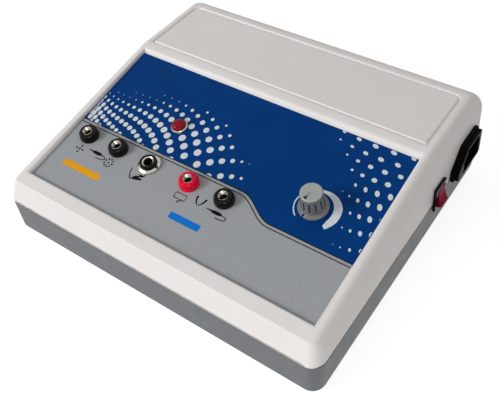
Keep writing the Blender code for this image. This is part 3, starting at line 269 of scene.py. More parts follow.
def case_form(name, inset, foot):
    """The moulding's outer or inner form: crisp along the front crease, soft along the others."""
    if inset:
        rings = [case_ring(inset, 0, foot)] + [case_ring(inset, k / 9) for k in range(10)]
    else:
        rings = []
        for a in np.radians((0, 22, 45, 67, 90)):
            level = foot + foot_edge * (1 - math.cos(a))
            rings.append(case_ring(0, 0, level, foot_edge * (1 - math.sin(a))))
        rings += [case_ring(0, k / 9) for k in range(8)]
        soft = [k / 9 for k in range(crease)] + [1.0] * (crease + 1)
        soft += soft[::-1]
        rings.append(mixed(case_ring(0, 8 / 9), case_ring(0, rolled[0]), soft))
        before = mixed(case_ring(0, 1, dip=front_edge), case_ring(0, rolled[1]), soft)
        edge = case_ring(0, 1)
        after = mixed(case_ring(0, 1, over=front_edge), case_ring(0, 1, over=side_edge), soft)
        for share in (0, 0.25, 0.5, 0.75, 1):
            shares = [share] * len(edge)
            first, last = mixed(before, edge, shares), mixed(edge, after, shares)
            rings.append(mixed(first, last, shares))
    count = len(rings[0])
    mirror = count - 1 - crease
    slope = list(range(crease + 1)) + list(range(mirror, count))
    return lofted(name, [on_case(ring) for ring in rings], [slope, range(crease, mirror + 1)])


def evaluated(obj):
    """The object's mesh as its modifiers leave it."""
    graph = bpy.context.evaluated_depsgraph_get()
    return bpy.data.meshes.new_from_object(obj.evaluated_get(graph))


def combine(solid, tool, operation="DIFFERENCE"):
    """Cuts or joins two solids for good, and clears the tool away."""
    step = solid.modifiers.new("combine", "BOOLEAN")
    step.object, step.operation, step.solver = tool, operation, "EXACT"
    mesh = evaluated(solid)
    solid.modifiers.clear()
    solid.data = mesh
    bpy.data.objects.remove(tool)


recess_half, recess_front, recess_rear, rear_draft = 108.2, 16.4, 140.2, 1.9
rim_radius = 1.8


def recess_ring(out, grow=0.0):
    """The recess at a height over the label, its rear wall drafted, grown by a margin."""
    rear = recess_rear - rear_draft * max(1 - out / panel_depth, 0)
    half, low, high = recess_half + grow, recess_front - grow, rear + grow
    corners = ((-half, low), (half, low), (half, high), (-half, high))
    return [on_slope(x, up, out) for x, up in corners]


def round_outline(x, y, radius, sides, shift=0.0):
    """Points round a circle, their start turned on by a share of a side."""
    turns = [2 * math.pi * (k + shift) / sides for k in range(sides)]
    return [(x + radius * math.cos(a), y + radius * math.sin(a)) for a in turns]


def slab(name, outline, low, high):
    """An upright prism over an outline in plan."""
    return lofted(name, [on_case([(x, y, z) for x, y in outline]) for z in (low, high)])


def tab(left, low, right, high, radius):
    """A rectangle with rounded corners."""
    made = []
    for x, s, start in (
        (right - radius, low + radius, -90),
        (right - radius, high - radius, 0),
        (left + radius, high - radius, 90),
        (left + radius, low + radius, 180),
    ):
        for k in range(7):
            a = math.radians(start + 15 * k)
            made.append((x + radius * math.cos(a), s + radius * math.sin(a)))
    return made


spare = 2.0  # how far a cutter runs on past what it cuts
bed_depth = 0.8  # from the label's face down to the floor it is stuck to
lip_gap, lip_top = 1.1, split_z + 2.3
boss_half, boss_gap = 106.0, 14.0
boss_radius, pilot_radius, pilot_top = 4.4, 2.0, split_z + 7.6
hollow = case_form("hollow", case_wall, upper_z - spare)
lining = [recess_ring(out, case_wall) for out in (-bed_depth - case_wall, 2 * spare)]
combine(hollow, lofted("recess_lining", lining))
lip_half, lip_front, lip_rear = half_width - lip_gap, front_y + lip_gap, rear_y - lip_gap
lip = tab(-lip_half, lip_front, lip_half, lip_rear, corner_radius - lip_gap)
combine(hollow, slab("lip_hollow", lip, upper_z - spare, lip_top), "UNION")
boss_rows = (front_y + boss_gap, rear_y - boss_gap)
boss_places = [(x, y) for x in (-boss_half, boss_half) for y in boss_rows]
for x, y in boss_places:
    boss = round_outline(x, y, boss_radius, 24)
    combine(hollow, slab("boss", boss, upper_z, roof(y) + spare))
upper_case = case_form("upper_case", 0, upper_z + seam)
combine(upper_case, hollow)
cuts = [recess_ring(-bed_depth)]
for a in np.radians(range(0, 90, 15)):
    sunk, opened = rim_radius * (1 - math.sin(a)), rim_radius * (1 - math.cos(a))
    cuts.append(recess_ring(panel_depth - sunk, opened))
cuts += [recess_ring(panel_depth, rim_radius), recess_ring(panel_depth + spare, rim_radius + 0.1)]
combine(upper_case, lofted("recess_cutter", cuts))

# Each hole's place on the panel and radius: the four lead sockets, the jack, the lamp, the knob.
panel_holes = [(x, 59.4, 4.2) for x in (-92.7, -66.5, -7.5, 19.6)]
panel_holes += [(-40.0, 59.1, 5.9), (-41.4, 93.4, 4.5), (69.5, 80.0, 3.8)]
for x, up, radius in panel_holes:
    outline = round_outline(x, up, radius, 32)
    bore = [[on_slope(*point, out) for point in outline] for out in (-3 * spare, spare)]
    combine(upper_case, lofted("bore", bore))
for x, y in boss_places:
    pilot = round_outline(x, y, pilot_radius, 24)
    combine(upper_case, slab("pilot", pilot, upper_z - spare, pilot_top))

groove_gap, groove_length = 2.4, 51.8
groove_half, groove_corner = 107.0, 4.5
# Half its width by height, from its narrow foot up to the face and on past it.
groove_flanks = ((0.3, top_z - 1.3), (1.2, top_z + 0.05), (1.2, top_z + 1))


def groove_ring(offset, level):
    """The line round the flat top, square at its front corners and round at its rear ones."""
    near = front_y + slope_run + groove_gap - offset
    far = near + groove_length + 2 * offset
    half, radius = groove_half + offset, groove_corner + offset
    right = []
    for a in np.radians(range(90, -1, -10)):
        right.append((half - radius + radius * math.sin(a), far - radius + radius * math.cos(a)))
    outline = [(-half, near), (half, near)] + right + [(-x, y) for x, y in reversed(right)]
    return on_case([(x, y, level) for x, y in outline])


groove = bmesh.new()
flanks = [groove_ring(offset, level) for offset, level in groove_flanks]
flanks += [groove_ring(-offset, level) for offset, level in reversed(groove_flanks)]
walled(groove, flanks, closed=True)
combine(upper_case, as_solid("groove_cutter", groove))


def wall_cutter(name, outline):
    """A cutter through the right wall, over an outline seen from the right, as (y, z)."""
    ends = [on_case([(x, y, z) for y, z in outline]) for x in (half_width - 8, half_width + 3)]
    return lofted(name, ends)


rocker_y, rocker_z, inlet_y, inlet_z = 36.45, 33.9, 74.75, 39.7
opening = [(-6.3, -8.2), (6.3, -8.2), (6.3, 8.2), (-6.3, 8.2)]
opening = [(rocker_y + y, rocker_z + z) for y, z in opening]
combine(upper_case, wall_cutter("rocker_window", opening))
mouth = [(13.7, -12), (13.7, 5.1), (9.3, 9.5), (-6.5, 9.5), (-13.7, 2.3), (-13.7, -12)]
mouth = [(inlet_y + y, inlet_z + z) for y, z in mouth]
combine(upper_case, wall_cutter("inlet_window", mouth))


def finished(piece, body, material, replaced=(), hard=32.0):
    """Smooths a made piece's roundings, gives it its material, and sets it on its body."""
    piece.data.shade_smooth()
    piece.data.set_sharp_from_angle(angle=math.radians(hard))
    coated(piece, material)
    if replaced:
        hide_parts(*replaced)
    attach(piece, body)


# Spark-eroded white ABS: warm off-white with a soft sheen, a little brighter along its edges,
# as rubbed wear and a painted highlight.
white_abs = moulded("spark_eroded_white_abs", "#EEE9E6", 0.46, grain=0.5, cloud=0.012, rub_and_highlight=0.03)
finished(upper_case, "case", white_abs, ["upper_shell"])


# Front label. The real one is a polycarbonate film of half a millimetre, printed on its back in
# dark blue over fine-lined silver, with a satin hard coat, and stuck into the sunk panel.
print_rise = 6.3
label_left, label_right, label_high = -107.3, 107.3, 131.6
step_left, step_right = 25.5, 52.5
band_left, band_right = 62.5, 50.4


def on_panel(x, s, out=0.0):
    """A point of the label in mm: x from its middle, s up its slope, out from its face."""
    return on_slope(x, s + print_rise, out)


def label_material():
    made, tree, shader, mm = blank_material("screen_printed_polycarbonate")
    turn = Matrix.Rotation(-panel_tilt, 3, "X")
    shift = -(turn @ panel_corner) - Vector((0, print_rise, 0))
    laid = {"Vector": mm, "Rotation": (-panel_tilt, 0, 0), "Location": shift}
    placed = add(tree, "ShaderNodeMapping", laid)
    axes = add(tree, "ShaderNodeSeparateXYZ", {0: placed.outputs["Vector"]})
    step = {"Value": axes.outputs["X"], "From Min": step_left, "From Max": step_right}
    step |= {"To Min": band_left, "To Max": band_right}
    border = add(tree, "ShaderNodeMapRange", step, interpolation_type="SMOOTHSTEP")
    sides = {0: axes.outputs["Y"], 1: border.outputs["Result"]}
    behind = add(tree, "ShaderNodeMath", sides, operation="GREATER_THAN")
    sway = {0: axes.outputs["X"], 1: 1 / sway_reach}
    sway = add(tree, "ShaderNodeMath", sway, operation="MULTIPLY")
    swung = add(tree, "ShaderNodeMath", {0: sway.outputs[0]}, operation="SINE")
    wavy = {0: swung.outputs[0], 1: sway_height, 2: axes.outputs["Y"]}
    height = add(tree, "ShaderNodeMath", wavy, operation="MULTIPLY_ADD")
    ruled = add(tree, "ShaderNodeCombineXYZ", {"X": axes.outputs["X"], "Y": height.outputs[0]})
    fine = {"Vector": ruled.outputs["Vector"], "Scale": wave_scale / line_pitch}
    lines = add(tree, "ShaderNodeTexWave", fine, wave_type="BANDS", bands_direction="Y")
    hatch = {0: lines.outputs["Fac"], 6: shade(silver_ink, 0.85), 7: shade(silver_ink, 1.13)}
    silver = add(tree, "ShaderNodeMix", hatch, data_type="RGBA")
    deep = {0: patches(tree, mm, 30), 6: shade(blue_ink, 0.93), 7: shade(blue_ink, 1.07)}
    blue = add(tree, "ShaderNodeMix", deep, data_type="RGBA")
    fields = {0: behind.outputs["Value"], 6: silver.outputs[2], 7: blue.outputs[2]}
    both = add(tree, "ShaderNodeMix", fields, data_type="RGBA")
    surface = {"Base Color": both.outputs[2], "Roughness": patches(tree, mm, 5, 0.38, 0.46)}
    feed(tree, shader, surface | {"Specular IOR Level": coat_glint})
    grained(tree, shader, mm, *coat_grain)
    return made


# Screen printed polycarbonate: deep even blue, and silver with wavy rules that give it a shimmer.
# The rules are drawn 1.3 mm apart, coarser than the real ones, which would be too fine to show.
blue_ink, silver_ink = "#003A7C", "#A6A9AC"
line_pitch, sway_reach, sway_height = 1.3, 21.0, 5.5
wave_scale = 0.31416  # a wave texture's scale for bands 1 mm apart
coat_glint, coat_grain = 0.05, (0.3, 0.004)
dress(label_material(), "panel_overlay")


# Halftone on the label. The real print has two fields of pale dots that swell and shrink along
# warped rows on the blue, fading out to the left and to the top right.
def ink(name, colour, roughness=0.42):
    """Screen printed ink under the label's satin coat."""
    made, tree, shader, mm = blank_material(name)
    patchy = {0: patches(tree, mm, 1.6), 6: shade(colour, 0.96), 7: shade(colour, 1.04)}
    tint = add(tree, "ShaderNodeMix", patchy, data_type="RGBA")
    gloss = patches(tree, mm, 4, roughness - 0.04, roughness + 0.04)
    surface = {"Base Color": tint.outputs[2], "Roughness": gloss}
    feed(tree, shader, surface | {"Specular IOR Level": coat_glint})
    grained(tree, shader, mm, *coat_grain)
    return made


def warp(terms, i, j):
    """A cubic in the dot's place i in its row and its row j."""
    return sum(factor * i**a * j**b for (a, b), factor in terms.items())


# Where each field's dots lie and how large they are, as cubics in i and j.
left_x = {(0, 0): -17.46, (0, 1): 6.326, (0, 2): -0.0948, (0, 3): -0.0124, (1, 0): 5.265}
left_x |= {(1, 1): 0.461, (1, 2): -0.0011, (2, 0): -0.1154, (2, 1): 0.0047, (3, 0): -0.0052}
left_s = {(0, 0): 75.12, (0, 1): 5.753, (0, 2): -0.3195, (0, 3): -0.0296, (1, 0): -7.087}
left_s |= {(1, 1): -0.2766, (1, 2): -0.0047, (2, 0): -0.6613, (2, 1): -0.0288, (3, 0): -0.0191}
left_size = {(0, 0): 4.77, (0, 1): -0.094, (0, 2): -0.209, (0, 3): 0.0024, (1, 0): -0.029}
left_size |= {(1, 1): 0.1546, (1, 2): -0.0038, (2, 0): -0.0792, (2, 1): 0.001, (3, 0): -0.0029}
right_x = {(0, 0): 96.09, (0, 1): 0.801, (0, 2): 0.428, (0, 3): 0.0516, (1, 0): 6.679}
right_x |= {(1, 1): 0.786, (1, 2): 0.0819, (2, 0): 0.2436, (2, 1): -0.0404, (3, 0): -0.0218}
right_s = {(0, 0): 90.02, (0, 1): 9.23, (0, 2): -0.368, (0, 3): 0.0469, (1, 0): 0.756}
right_s |= {(1, 1): 0.144, (1, 2): 0.0396, (2, 0): 0.411, (2, 1): 0.0076, (3, 0): 0.006}
right_size = {(0, 0): 3.21, (0, 1): 0.4675, (0, 2): -0.129, (0, 3): -0.0102, (1, 0): 0.739}
right_size |= {(1, 1): -0.268, (1, 2): -0.069, (2, 0): -0.173, (2, 1): -0.0928, (3, 0): -0.0435}
# The first and last dot of each row.
left_rows = {-7: (-15, -12), -6: (-15, -9), -5: (-15, -6), -4: (-15, -3), -3: (-15, -1)}
left_rows |= {-2: (-15, 0), -1: (-14, 1), 0: (-12, 1), 1: (-9, 2), 2: (-4, 2), 3: (-2, 2)}
left_rows |= {4: (1, 2), 5: (1, 1)}
right_rows = {-3: (-1, 2), -2: (-1, 2), -1: (-1, 2), 0: (-3, 1), 1: (-2, 1), 2: (-3, 0)}
right_rows |= {3: (-4, 0), 4: (-5, -1), 5: (-5, -1)}


def band_height(x):
    """Where the divider between the blue and the silver runs, up the slope in mm."""
    part = min(max((x - step_left) / (step_right - step_left), 0), 1)
    return band_left + (band_right - band_left) * part * part * (3 - 2 * part)


def halftone_dots():
    """(x, s, width, height, turn, lowest s) of every dot, in mm and radians on the label. The
    left dots are narrow and grow rounder along their row, and the right ones lean."""
    dots = []
    for j, (first, last) in left_rows.items():
        for i in range(first, last + 1):
            size = max(warp(left_size, i, j) * 1.07, 0.6)
            slim = min(0.82 + 0.03 * (i + 14), 0.97)
            dots.append((warp(left_x, i, j), warp(left_s, i, j), size * slim, size / slim, 0))
    for j, (first, last) in right_rows.items():
        for i in range(first, last + 1):
            size = max(warp(right_size, i, j), 0.5)
            wide = min(max(0.92 + 0.07 * j, 0.85), 1.25) if j > 1 else 0.8
            turn = -0.35 if j > 1 else 0.5
            dots.append((warp(right_x, i, j), warp(right_s, i, j), size * wide, size / wide, turn))
    kept = []
    for x, s, width, height, turn in dots:
        edge = band_height(x) + divider_width / 2 - 0.1
        if s + height / 2 > edge + 0.3 and s - height / 2 < label_high - 0.4:
            kept.append((x, s, width, height, turn, edge))
    return kept


dot_values = ("dot_size", "dot_turn", "dot_least")


def halftone_tree(material):
    """Geometry nodes that print a dot on each point, trim it to the label and tilt the whole."""
    tree = bpy.data.node_groups.new("halftone", "GeometryNodeTree")
    names = {}
    for name, kind in (
        ("points", "NodeSocketGeometry"),
        ("ink thickness", "NodeSocketFloat"),
        ("greatest corner", "NodeSocketVector"),
        ("tilt", "NodeSocketVector"),
        ("place", "NodeSocketVector"),
    ):
        names[name] = tree.interface.new_socket(name, in_out="INPUT", socket_type=kind).identifier
    tree.interface.new_socket("print", in_out="OUTPUT", socket_type="NodeSocketGeometry")
    given = add(tree, "NodeGroupInput").outputs
    round_dot = {"Vertices": 20, "Radius": 0.5, "Depth": given["ink thickness"]}
    disc = add(tree, "GeometryNodeMeshCylinder", round_dot)
    size, turn, least = (
        add(tree, "GeometryNodeInputNamedAttribute", {"Name": kind}, data_type="FLOAT_VECTOR")
        for kind in dot_values
    )
    strewn = {"Points": given["points"], "Instance": disc.outputs["Mesh"]}
    strewn["Scale"] = size.outputs["Attribute"]
    strewn["Rotation"] = turn.outputs["Attribute"]
    strew = add(tree, "GeometryNodeInstanceOnPoints", strewn)
    real = add(tree, "GeometryNodeRealizeInstances", {"Geometry": strew.outputs["Instances"]})
    here = add(tree, "GeometryNodeInputPosition")
    both = {0: here.outputs[0], 1: least.outputs["Attribute"]}
    low = add(tree, "ShaderNodeVectorMath", both, operation="MAXIMUM")
    both = {0: low.outputs[0], 1: given["greatest corner"]}
    high = add(tree, "ShaderNodeVectorMath", both, operation="MINIMUM")
    trim = {"Geometry": real.outputs[0], "Position": high.outputs[0]}
    trim = add(tree, "GeometryNodeSetPosition", trim)
    laid = {"Geometry": trim.outputs[0], "Rotation": given["tilt"], "Translation": given["place"]}
    tilt = add(tree, "GeometryNodeTransform", {**laid, "Scale": (MM, MM, MM)})
    paint = {"Geometry": tilt.outputs[0], "Material": material}
    paint = add(tree, "GeometryNodeSetMaterial", paint)
    add(tree, "NodeGroupOutput", {"print": paint.outputs[0]})
    return tree, names


def halftone(name, dots, material):
    """The dots as one plain mesh; the points that carried the nodes go."""
    seeds = bpy.data.meshes.new(name + "_points")
    seeds.from_pydata([(dot[0], dot[1], 0) for dot in dots], [], [])
    held = [seeds.attributes.new(kind, "FLOAT_VECTOR", "POINT").name for kind in dot_values]
    for k, (x, s, width, height, turn, edge) in enumerate(dots):
        values = ((width, height, 1), (0, 0, turn), (label_left + 0.2, edge, -1))
        for kind, value in zip(held, values):
            seeds.attributes[kind].data[k].vector = value
    carrier = in_scene(name + "_carrier", seeds)
    strewn = carrier.modifiers.new("halftone", "NODES")
    strewn.node_group, names = halftone_tree(material)
    strewn[names["ink thickness"]] = 0.05
    strewn[names["greatest corner"]] = (label_right - 0.2, label_high - 0.2, 1)
    strewn[names["tilt"]] = (panel_tilt, 0, 0)
    strewn[names["place"]] = tuple(on_panel(0, 0) * MM)
    mesh = evaluated(carrier)
    bpy.data.objects.remove(carrier)
    return in_scene(name, mesh)


# Pale screen ink: a cool near-white with faint patches where the squeegee left it thinner.
divider_width, divider_core = 2.9, 1.6
dot_ink = ink("pale_screen_ink", "#DCE3E7")
dots = halftone("halftone_print", halftone_dots(), dot_ink)
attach(dots, "case")


# Divider, symbols, colour tabs and the knob's crescent. On the real label they are further inks
# on the same film: black and silver lines, small black symbols, a yellow and a blue tab.
def printed(name, outlines, rise, material):
    """Flat ink shapes on the label, each a thin closed slab from its outline in label mm."""
    made = bmesh.new()
    for outline in outlines:
        faces = [[on_panel(x, s, out) for x, s in outline] for out in (-ink_root, rise)]
        low, high = walled(made, faces)
        made.faces.new(high)
        made.faces.new(low[::-1])
    piece = as_solid(name, made)
    piece.data.materials.append(material)
    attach(piece, "case")


ink_rise, ink_root = 0.04, 0.03


def stroke(points, width, end_width=None):
    """Outline of a line through these points, from one width to another."""
    points = [np.array(point, float) for point in points]
    last = len(points) - 1
    left, right = [], []
    for k, point in enumerate(points):
        ahead = points[min(k + 1, last)] - points[max(k - 1, 0)]
        side = np.array((-ahead[1], ahead[0])) / np.linalg.norm(ahead)
        half = (width + ((end_width or width) - width) * k / last) / 2
        left.append(tuple(point + side * half))
        right.append(tuple(point - side * half))
    return left + right[::-1]


def oval(x, s, width, height, count=24, turn=0.0):
    made = []
    for k in range(count):
        a = 2 * math.pi * k / count
        u, v = width / 2 * math.cos(a), height / 2 * math.sin(a)
        across, along = math.cos(turn), math.sin(turn)
        made.append((x + u * across - v * along, s + u * along + v * across))
    return made


def bow(points, count=14):
    """A smooth line through a few points."""
    points = [Vector((*point, 0)) for point in points]
    points = [points[0] * 2 - points[1]] + points + [points[-1] * 2 - points[-2]]
    made = []
    for a, b, c, d in zip(points, points[1:], points[2:], points[3:]):
        for k in range(count):
            t = k / count
            curve = (2 * a - 5 * b + 4 * c - d) * t**2 + (3 * b - a - 3 * c + d) * t**3
            place = 0.5 * (2 * b + (c - a) * t + curve)
            made.append((place.x, place.y))
    made.append((points[-2].x, points[-2].y))
    return made


# Black screen ink: dense and flat. Silver screen ink: a mid grey that catches a little light.
black_ink = ink("black_screen_ink", "#0C0C10")
divider = [(label_left, band_left)]
divider += [(x, band_height(x)) for x in np.linspace(step_left, step_right, 25)]
divider += [(label_right, band_right)]
printed("divider_edge_print", [stroke(divider, divider_width)], ink_rise, black_ink)
silver = ink("silver_screen_ink", "#A4A7A9")
printed("divider_core_print", [stroke(divider, divider_core)], ink_rise + 0.015, silver)


def pen_symbol(x, s):
    """A pen with its tip to the left and a looped cord, drawn in one ink."""
    tip = stroke([(x - 7.6, s + 0.2), (x - 3, s)], 0.5, 1.3)
    body = oval(x, s, 8.4, 2.5)
    cord = [(x + 3.6, s - 0.1), (x + 6.6, s - 0.5), (x + 7.6, s - 2.1)]
    cord += [(x + 5, s - 3.1), (x + 1, s - 3.3)]
    return [tip, body, stroke(bow(cord), 0.62)]


def ring_symbol(x, s, radius, count, size):
    """A dot with a ring of short strokes round it."""
    made = [oval(x, s, size * 1.2, size * 1.2, 12)]
    for k in range(count):
        a = 2 * math.pi * k / count
        across, along = radius * math.cos(a), radius * math.sin(a)
        made.append(oval(x + across, s + along, size * 1.5, size, 10, a))
    return made


# A foot over a pedal, a plate on its lead, forceps, and the rings and pens beside the sockets.
pedal = [stroke(bow([(-48.9, 46.0), (-48, 42.4), (-45.8, 39.2), (-44.6, 38.4)]), 0.7)]
pedal.append(stroke([(-45, 38.5), (-37.2, 40.6)], 0.5))
sole = [(-44.9, 39.2), (-43.1, 41.9), (-40.6, 42.6), (-39.7, 41.4)]
shoe = [(-41.1, 43.9), (-40.8, 42.2), (-38.2, 42.4), (-36.6, 44.8), (-37.2, 45.3), (-38.5, 44.1)]
pedal += [sole + [(-37.8, 41.6), (-37.2, 40.6), (-41.6, 39.6)], shoe]
plate_corners = ((-11.1, 44.6), (-2.9, 44.6), (-2.9, 40.7), (-11.1, 40.7), (-11.1, 44.6))
plate = [stroke([a, b], 0.5) for a, b in zip(plate_corners, plate_corners[1:])]
plate.append(stroke(bow([(-5.2, 40.8), (-5.2, 39.6), (-6.6, 39.3), (-6.5, 37.8)]), 0.7))
forceps = [stroke(bow([(2.9, 48.4), (3.7, 45.2), (5.2, 43.2), (6, 42.3)]), 1.3, 0.5)]
forceps.append(stroke(bow([(9.6, 48.4), (8.8, 45.2), (7.4, 43.2), (6.7, 42.3)]), 1.3, 0.5))
symbols = ring_symbol(-92.1, 41.6, 2.5, 4, 1.25) + ring_symbol(-66.2, 41.6, 3.0, 9, 1.15)
symbols += pen_symbol(-78.2, 44.2) + pen_symbol(20.2, 43.3) + pedal + plate + forceps
printed("symbol_print", symbols, ink_rise, black_ink)

# Yellow and sky blue screen inks: strong flat colours with the label's satin coat over them.
yellow_ink, sky_ink = ink("yellow_screen_ink", "#F0A91C"), ink("sky_screen_ink", "#1878D6")
printed("yellow_tab_print", [tab(-95.3, 26.7, -63.5, 31.3, 1.2)], ink_rise, yellow_ink)
printed("blue_tab_print", [tab(-5.3, 26.9, 17.5, 31.5, 0.9)], ink_rise, sky_ink)

# The crescent's outer and inner reach from the knob's middle, by the angle they are met at.
knob_x, knob_s = 69.5, 73.7
outer_turns = (-38, -11, 23, 55, 90, 150, 212, 235)
outer_reach = (16.3, 17.0, 16.95, 15.5, 13.4, 12.4, 12.2, 12.4)
inner_turns, inner_reach = (-38, -24, 0, 21, 90, 235), (13.6, 12.2, 11.9, 11.87, 11.4, 11.55)
sweep = np.linspace(235, -38, 70)
bounds = [(a, np.interp(a, outer_turns, outer_reach)) for a in sweep]
bounds += [(a, np.interp(a, inner_turns, inner_reach)) for a in sweep[::-1]]
crescent = []
for a, reach in bounds:
    x, s = reach * math.cos(math.radians(a)), reach * math.sin(math.radians(a))
    crescent.append((knob_x + x, knob_s + s))
printed("crescent_print", [crescent], ink_rise, dot_ink)


# Lead sockets. The real ones are 4 mm safety sockets: a glossy moulded collar, black or red, with
# a plated split sleeve in it, held under the panel by a plated nut.
def plated(name, colour, roughness, scratch=0.05):
    """Bright plating with fine turned streaks in its gloss."""
    made, tree, shader, mm = blank_material(name)
    tarnish = {0: patches(tree, mm, 2.5), 6: shade(colour, 0.9), 7: shade(colour, 1.05)}
    tint = add(tree, "ShaderNodeMix", tarnish, data_type="RGBA")
    streaks = patches(tree, mm, 0.35, roughness - scratch, roughness + scratch, 4.0)
    surface = {"Metallic": 1.0, "Base Color": tint.outputs[2], "Roughness": streaks}
    feed(tree, shader, surface)
    grained(tree, shader, mm, 0.12, 0.0015)
    return made


# Polished black nylon: deep black with small sharp highlights. Polished red nylon: a saturated
# red with the same gloss. Nickel-plated brass: a warm bright grey that mirrors what is round it.
polish = {"grain": 0.9, "depth": 0.003}
black_nylon = moulded("polished_black_nylon", "#040405", 0.11, cloud=0.05, specular=0.15, **polish)
red_nylon = moulded("polished_red_nylon", "#EE0638", 0.16, cloud=0.02, specular=0.12, **polish)
nickel = plated("nickel_plated_brass", "#BDB7AF", 0.22)
dress(black_nylon, "socket_low_cut", "socket_high_cut", "socket_bipolar_handle")
dress(red_nylon, "socket_patient_plate")
for place in ("low_cut", "high_cut", "patient_plate", "bipolar_handle"):
    dress(nickel, "sleeve_" + place, "socket_nut_" + place)


# Foot switch jack. The real one is a 6.35 mm panel jack: a black moulded body and bushing, a
# plated contact ring in its mouth and a round plated nut on the face of the panel.
dress(black_nylon, "jack_body")
dress(nickel, "jack_contact_ring", "jack_nut", hard=25.0)


# Indicator lamp. The real one has a turned, plated bezel and a domed lens moulded in clear red
# acrylic over a small bulb.
def clear_red():
    made, tree, shader, mm = blank_material("clear_red_acrylic")
    depths = {0: patches(tree, mm, 1.8), 6: shade("#70001A"), 7: shade("#A00026")}
    tint = add(tree, "ShaderNodeMix", depths, data_type="RGBA")
    surface = {"Base Color": tint.outputs[2], "Roughness": 0.13, "Specular IOR Level": 0.1}
    feed(tree, shader, surface | {"Coat Weight": 0.06, "Coat Roughness": 0.06})
    grained(tree, shader, mm, 0.9, 0.006)
    return made


# Clear red acrylic, polished in the mould: dark red in its depth under a clear, wet gloss.
dress(nickel, "indicator_bezel", "indicator_nut", hard=25.0)
dress(clear_red(), "indicator_lens")


# Intensity control. The real one is a small potentiometer with a zinc-plated can, a 6 mm shaft,
# a grey fluted knob with a thin skirt, and a lighter press-in cap with a pointer line.
knob_up = knob_s + print_rise
pointer_turn = math.radians(167.5)


def on_knob(x, y, z):
    """A point of the knob, its pointer along Y and its axis along Z, on the panel in mm."""
    turned = Matrix.Rotation(pointer_turn, 3, "Z") @ Vector((x, y, z))
    return on_slope(knob_x + turned.x, knob_up + turned.y, turned.z)


def turned_solid(name, profile):
    """A closed turned solid through (radius, height) in mm, from one end to the other."""
    rings = []
    for radius, height in profile:
        rings.append([on_knob(*point, height) for point in round_outline(0, 0, radius, 72, 0.5)])
    return lofted(name, rings)


# Radius and height of each step of the knob, from its skirt up to the cap's seat.
knob_foot, knob_top = (7.4, 3.0), (6.95, 14.2)
skirt = [(9.5, 0.6), (9.5, 1.5), (9.35, 1.9), (9.0, 2.15), (7.9, 2.35), (7.55, 2.6)]
crown = [(6.75, 14.7), (6.3, 14.8)]
knob_body = turned_solid("knob_body", skirt + [knob_foot, knob_top] + crown)
flute_count = 12
taper = (knob_foot[0] - knob_top[0]) / (knob_top[1] - knob_foot[1])
# Height, half width and depth of a flute, from its lower end to its upper one.
flute_steps = ((3.7, 0.5, 0.25), (4.3, 0.72, 0.95), (12.6, 0.72, 0.95), (13.2, 0.5, 0.25))
for k in range(flute_count):
    a = 2 * math.pi * k / flute_count
    rows = []
    for height, half, depth in flute_steps:
        wall = knob_foot[0] - taper * (height - knob_foot[1])
        near = ((-half, wall + 1), (-half, wall - depth * 0.6), (-half * 0.5, wall - depth))
        outline = near + tuple((-x, y) for x, y in reversed(near))
        cosine, sine = math.cos(a), math.sin(a)
        around = [(x * cosine - y * sine, x * sine + y * cosine) for x, y in outline]
        rows.append([on_knob(*point, height) for point in around])
    combine(knob_body, lofted("flute", rows))


def upright(half, near, far, low, high):
    """Two rings for a square bar on the knob, along its pointer from near to far."""
    corners = ((-half, near), (half, near), (half, far), (-half, far))
    return [[on_knob(x, y, z) for x, y in corners] for z in (low, high)]


combine(knob_body, lofted("notch", upright(0.65, 7.6, 11, -1, 4)))
nut_room = 4.6 * 2 / math.sqrt(3) + 0.9
shaft_bore = [(nut_room, 0), (nut_room, 3.9), (3.3, 3.9), (3.3, 11.8)]
combine(knob_body, turned_solid("knob_bore", shaft_bore))
combine(knob_body, turned_solid("cap_seat", [(5.3, 13.3), (5.3, 16)]))

# Moulded grey ABS: a semi-gloss mid grey, with painted shade in the flutes and a painted highlight
# along the ribs. The cap is the same plastic in a lighter grey with a satin face.
# A rub factor of 0.4 paints a highlight along the ribs.
knob_grey = moulded("moulded_grey_knob_abs", "#727475", 0.36, grain=0.6, rub_and_highlight=0.4)
tree = knob_grey.node_tree
colour = tree.nodes["Principled BSDF"].inputs["Base Color"]
# Painted shade: the base colour darkens to 0.3 of itself deep in the flutes.
flute_shade_ao = add(tree, "ShaderNodeAmbientOcclusion", {"Distance": 1.6 * MM}, only_local=True, samples=8)
painted_flute_shade = {"Value": flute_shade_ao.outputs["AO"], "From Min": 0.45, "From Max": 0.9, "To Min": 0.3}
painted_flute_shade = add(tree, "ShaderNodeMapRange", painted_flute_shade).outputs[0]
flute_shaded_colour = {0: colour.links[0].from_socket, 1: painted_flute_shade}
flute_shaded_colour = add(tree, "ShaderNodeVectorMath", flute_shaded_colour, operation="MULTIPLY")
tree.links.new(flute_shaded_colour.outputs[0], colour)
finished(knob_body, "intensity_knob", knob_grey, ["knob"], 35.0)

# The cap's face has fine turned rings about the knob's axis. The real ones lie some 0.3 mm apart,
# too fine to show here, so they are drawn three times as wide.
ring_pitch, cap_face = 0.9, 16.1
cap_grey = moulded("moulded_pale_cap_abs", "#A3A9A6", 0.42, grain=0.6, depth=0.01)
dress(cap_grey, "knob_cap")
tree = cap_grey.node_tree
normal = tree.nodes["Principled BSDF"].inputs["Normal"]
flat = Matrix.Rotation(-panel_tilt, 3, "X")
placed = {"Vector": tree.nodes["Mapping"].outputs["Vector"], "Rotation": flat.to_euler()}
placed["Location"] = -(flat @ on_slope(knob_x, knob_up, 0))
centred = add(tree, "ShaderNodeMapping", placed)
rings = {"Vector": centred.outputs[0], "Scale": wave_scale / ring_pitch, "Distortion": 0.15}
rings = add(tree, "ShaderNodeTexWave", rings, wave_type="RINGS", rings_direction="Z")
ridge = {"Height": rings.outputs["Fac"], "Distance": 0.05 * MM}
ridge["Normal"] = normal.links[0].from_socket
tree.links.new(add(tree, "ShaderNodeBump", ridge).outputs["Normal"], normal)
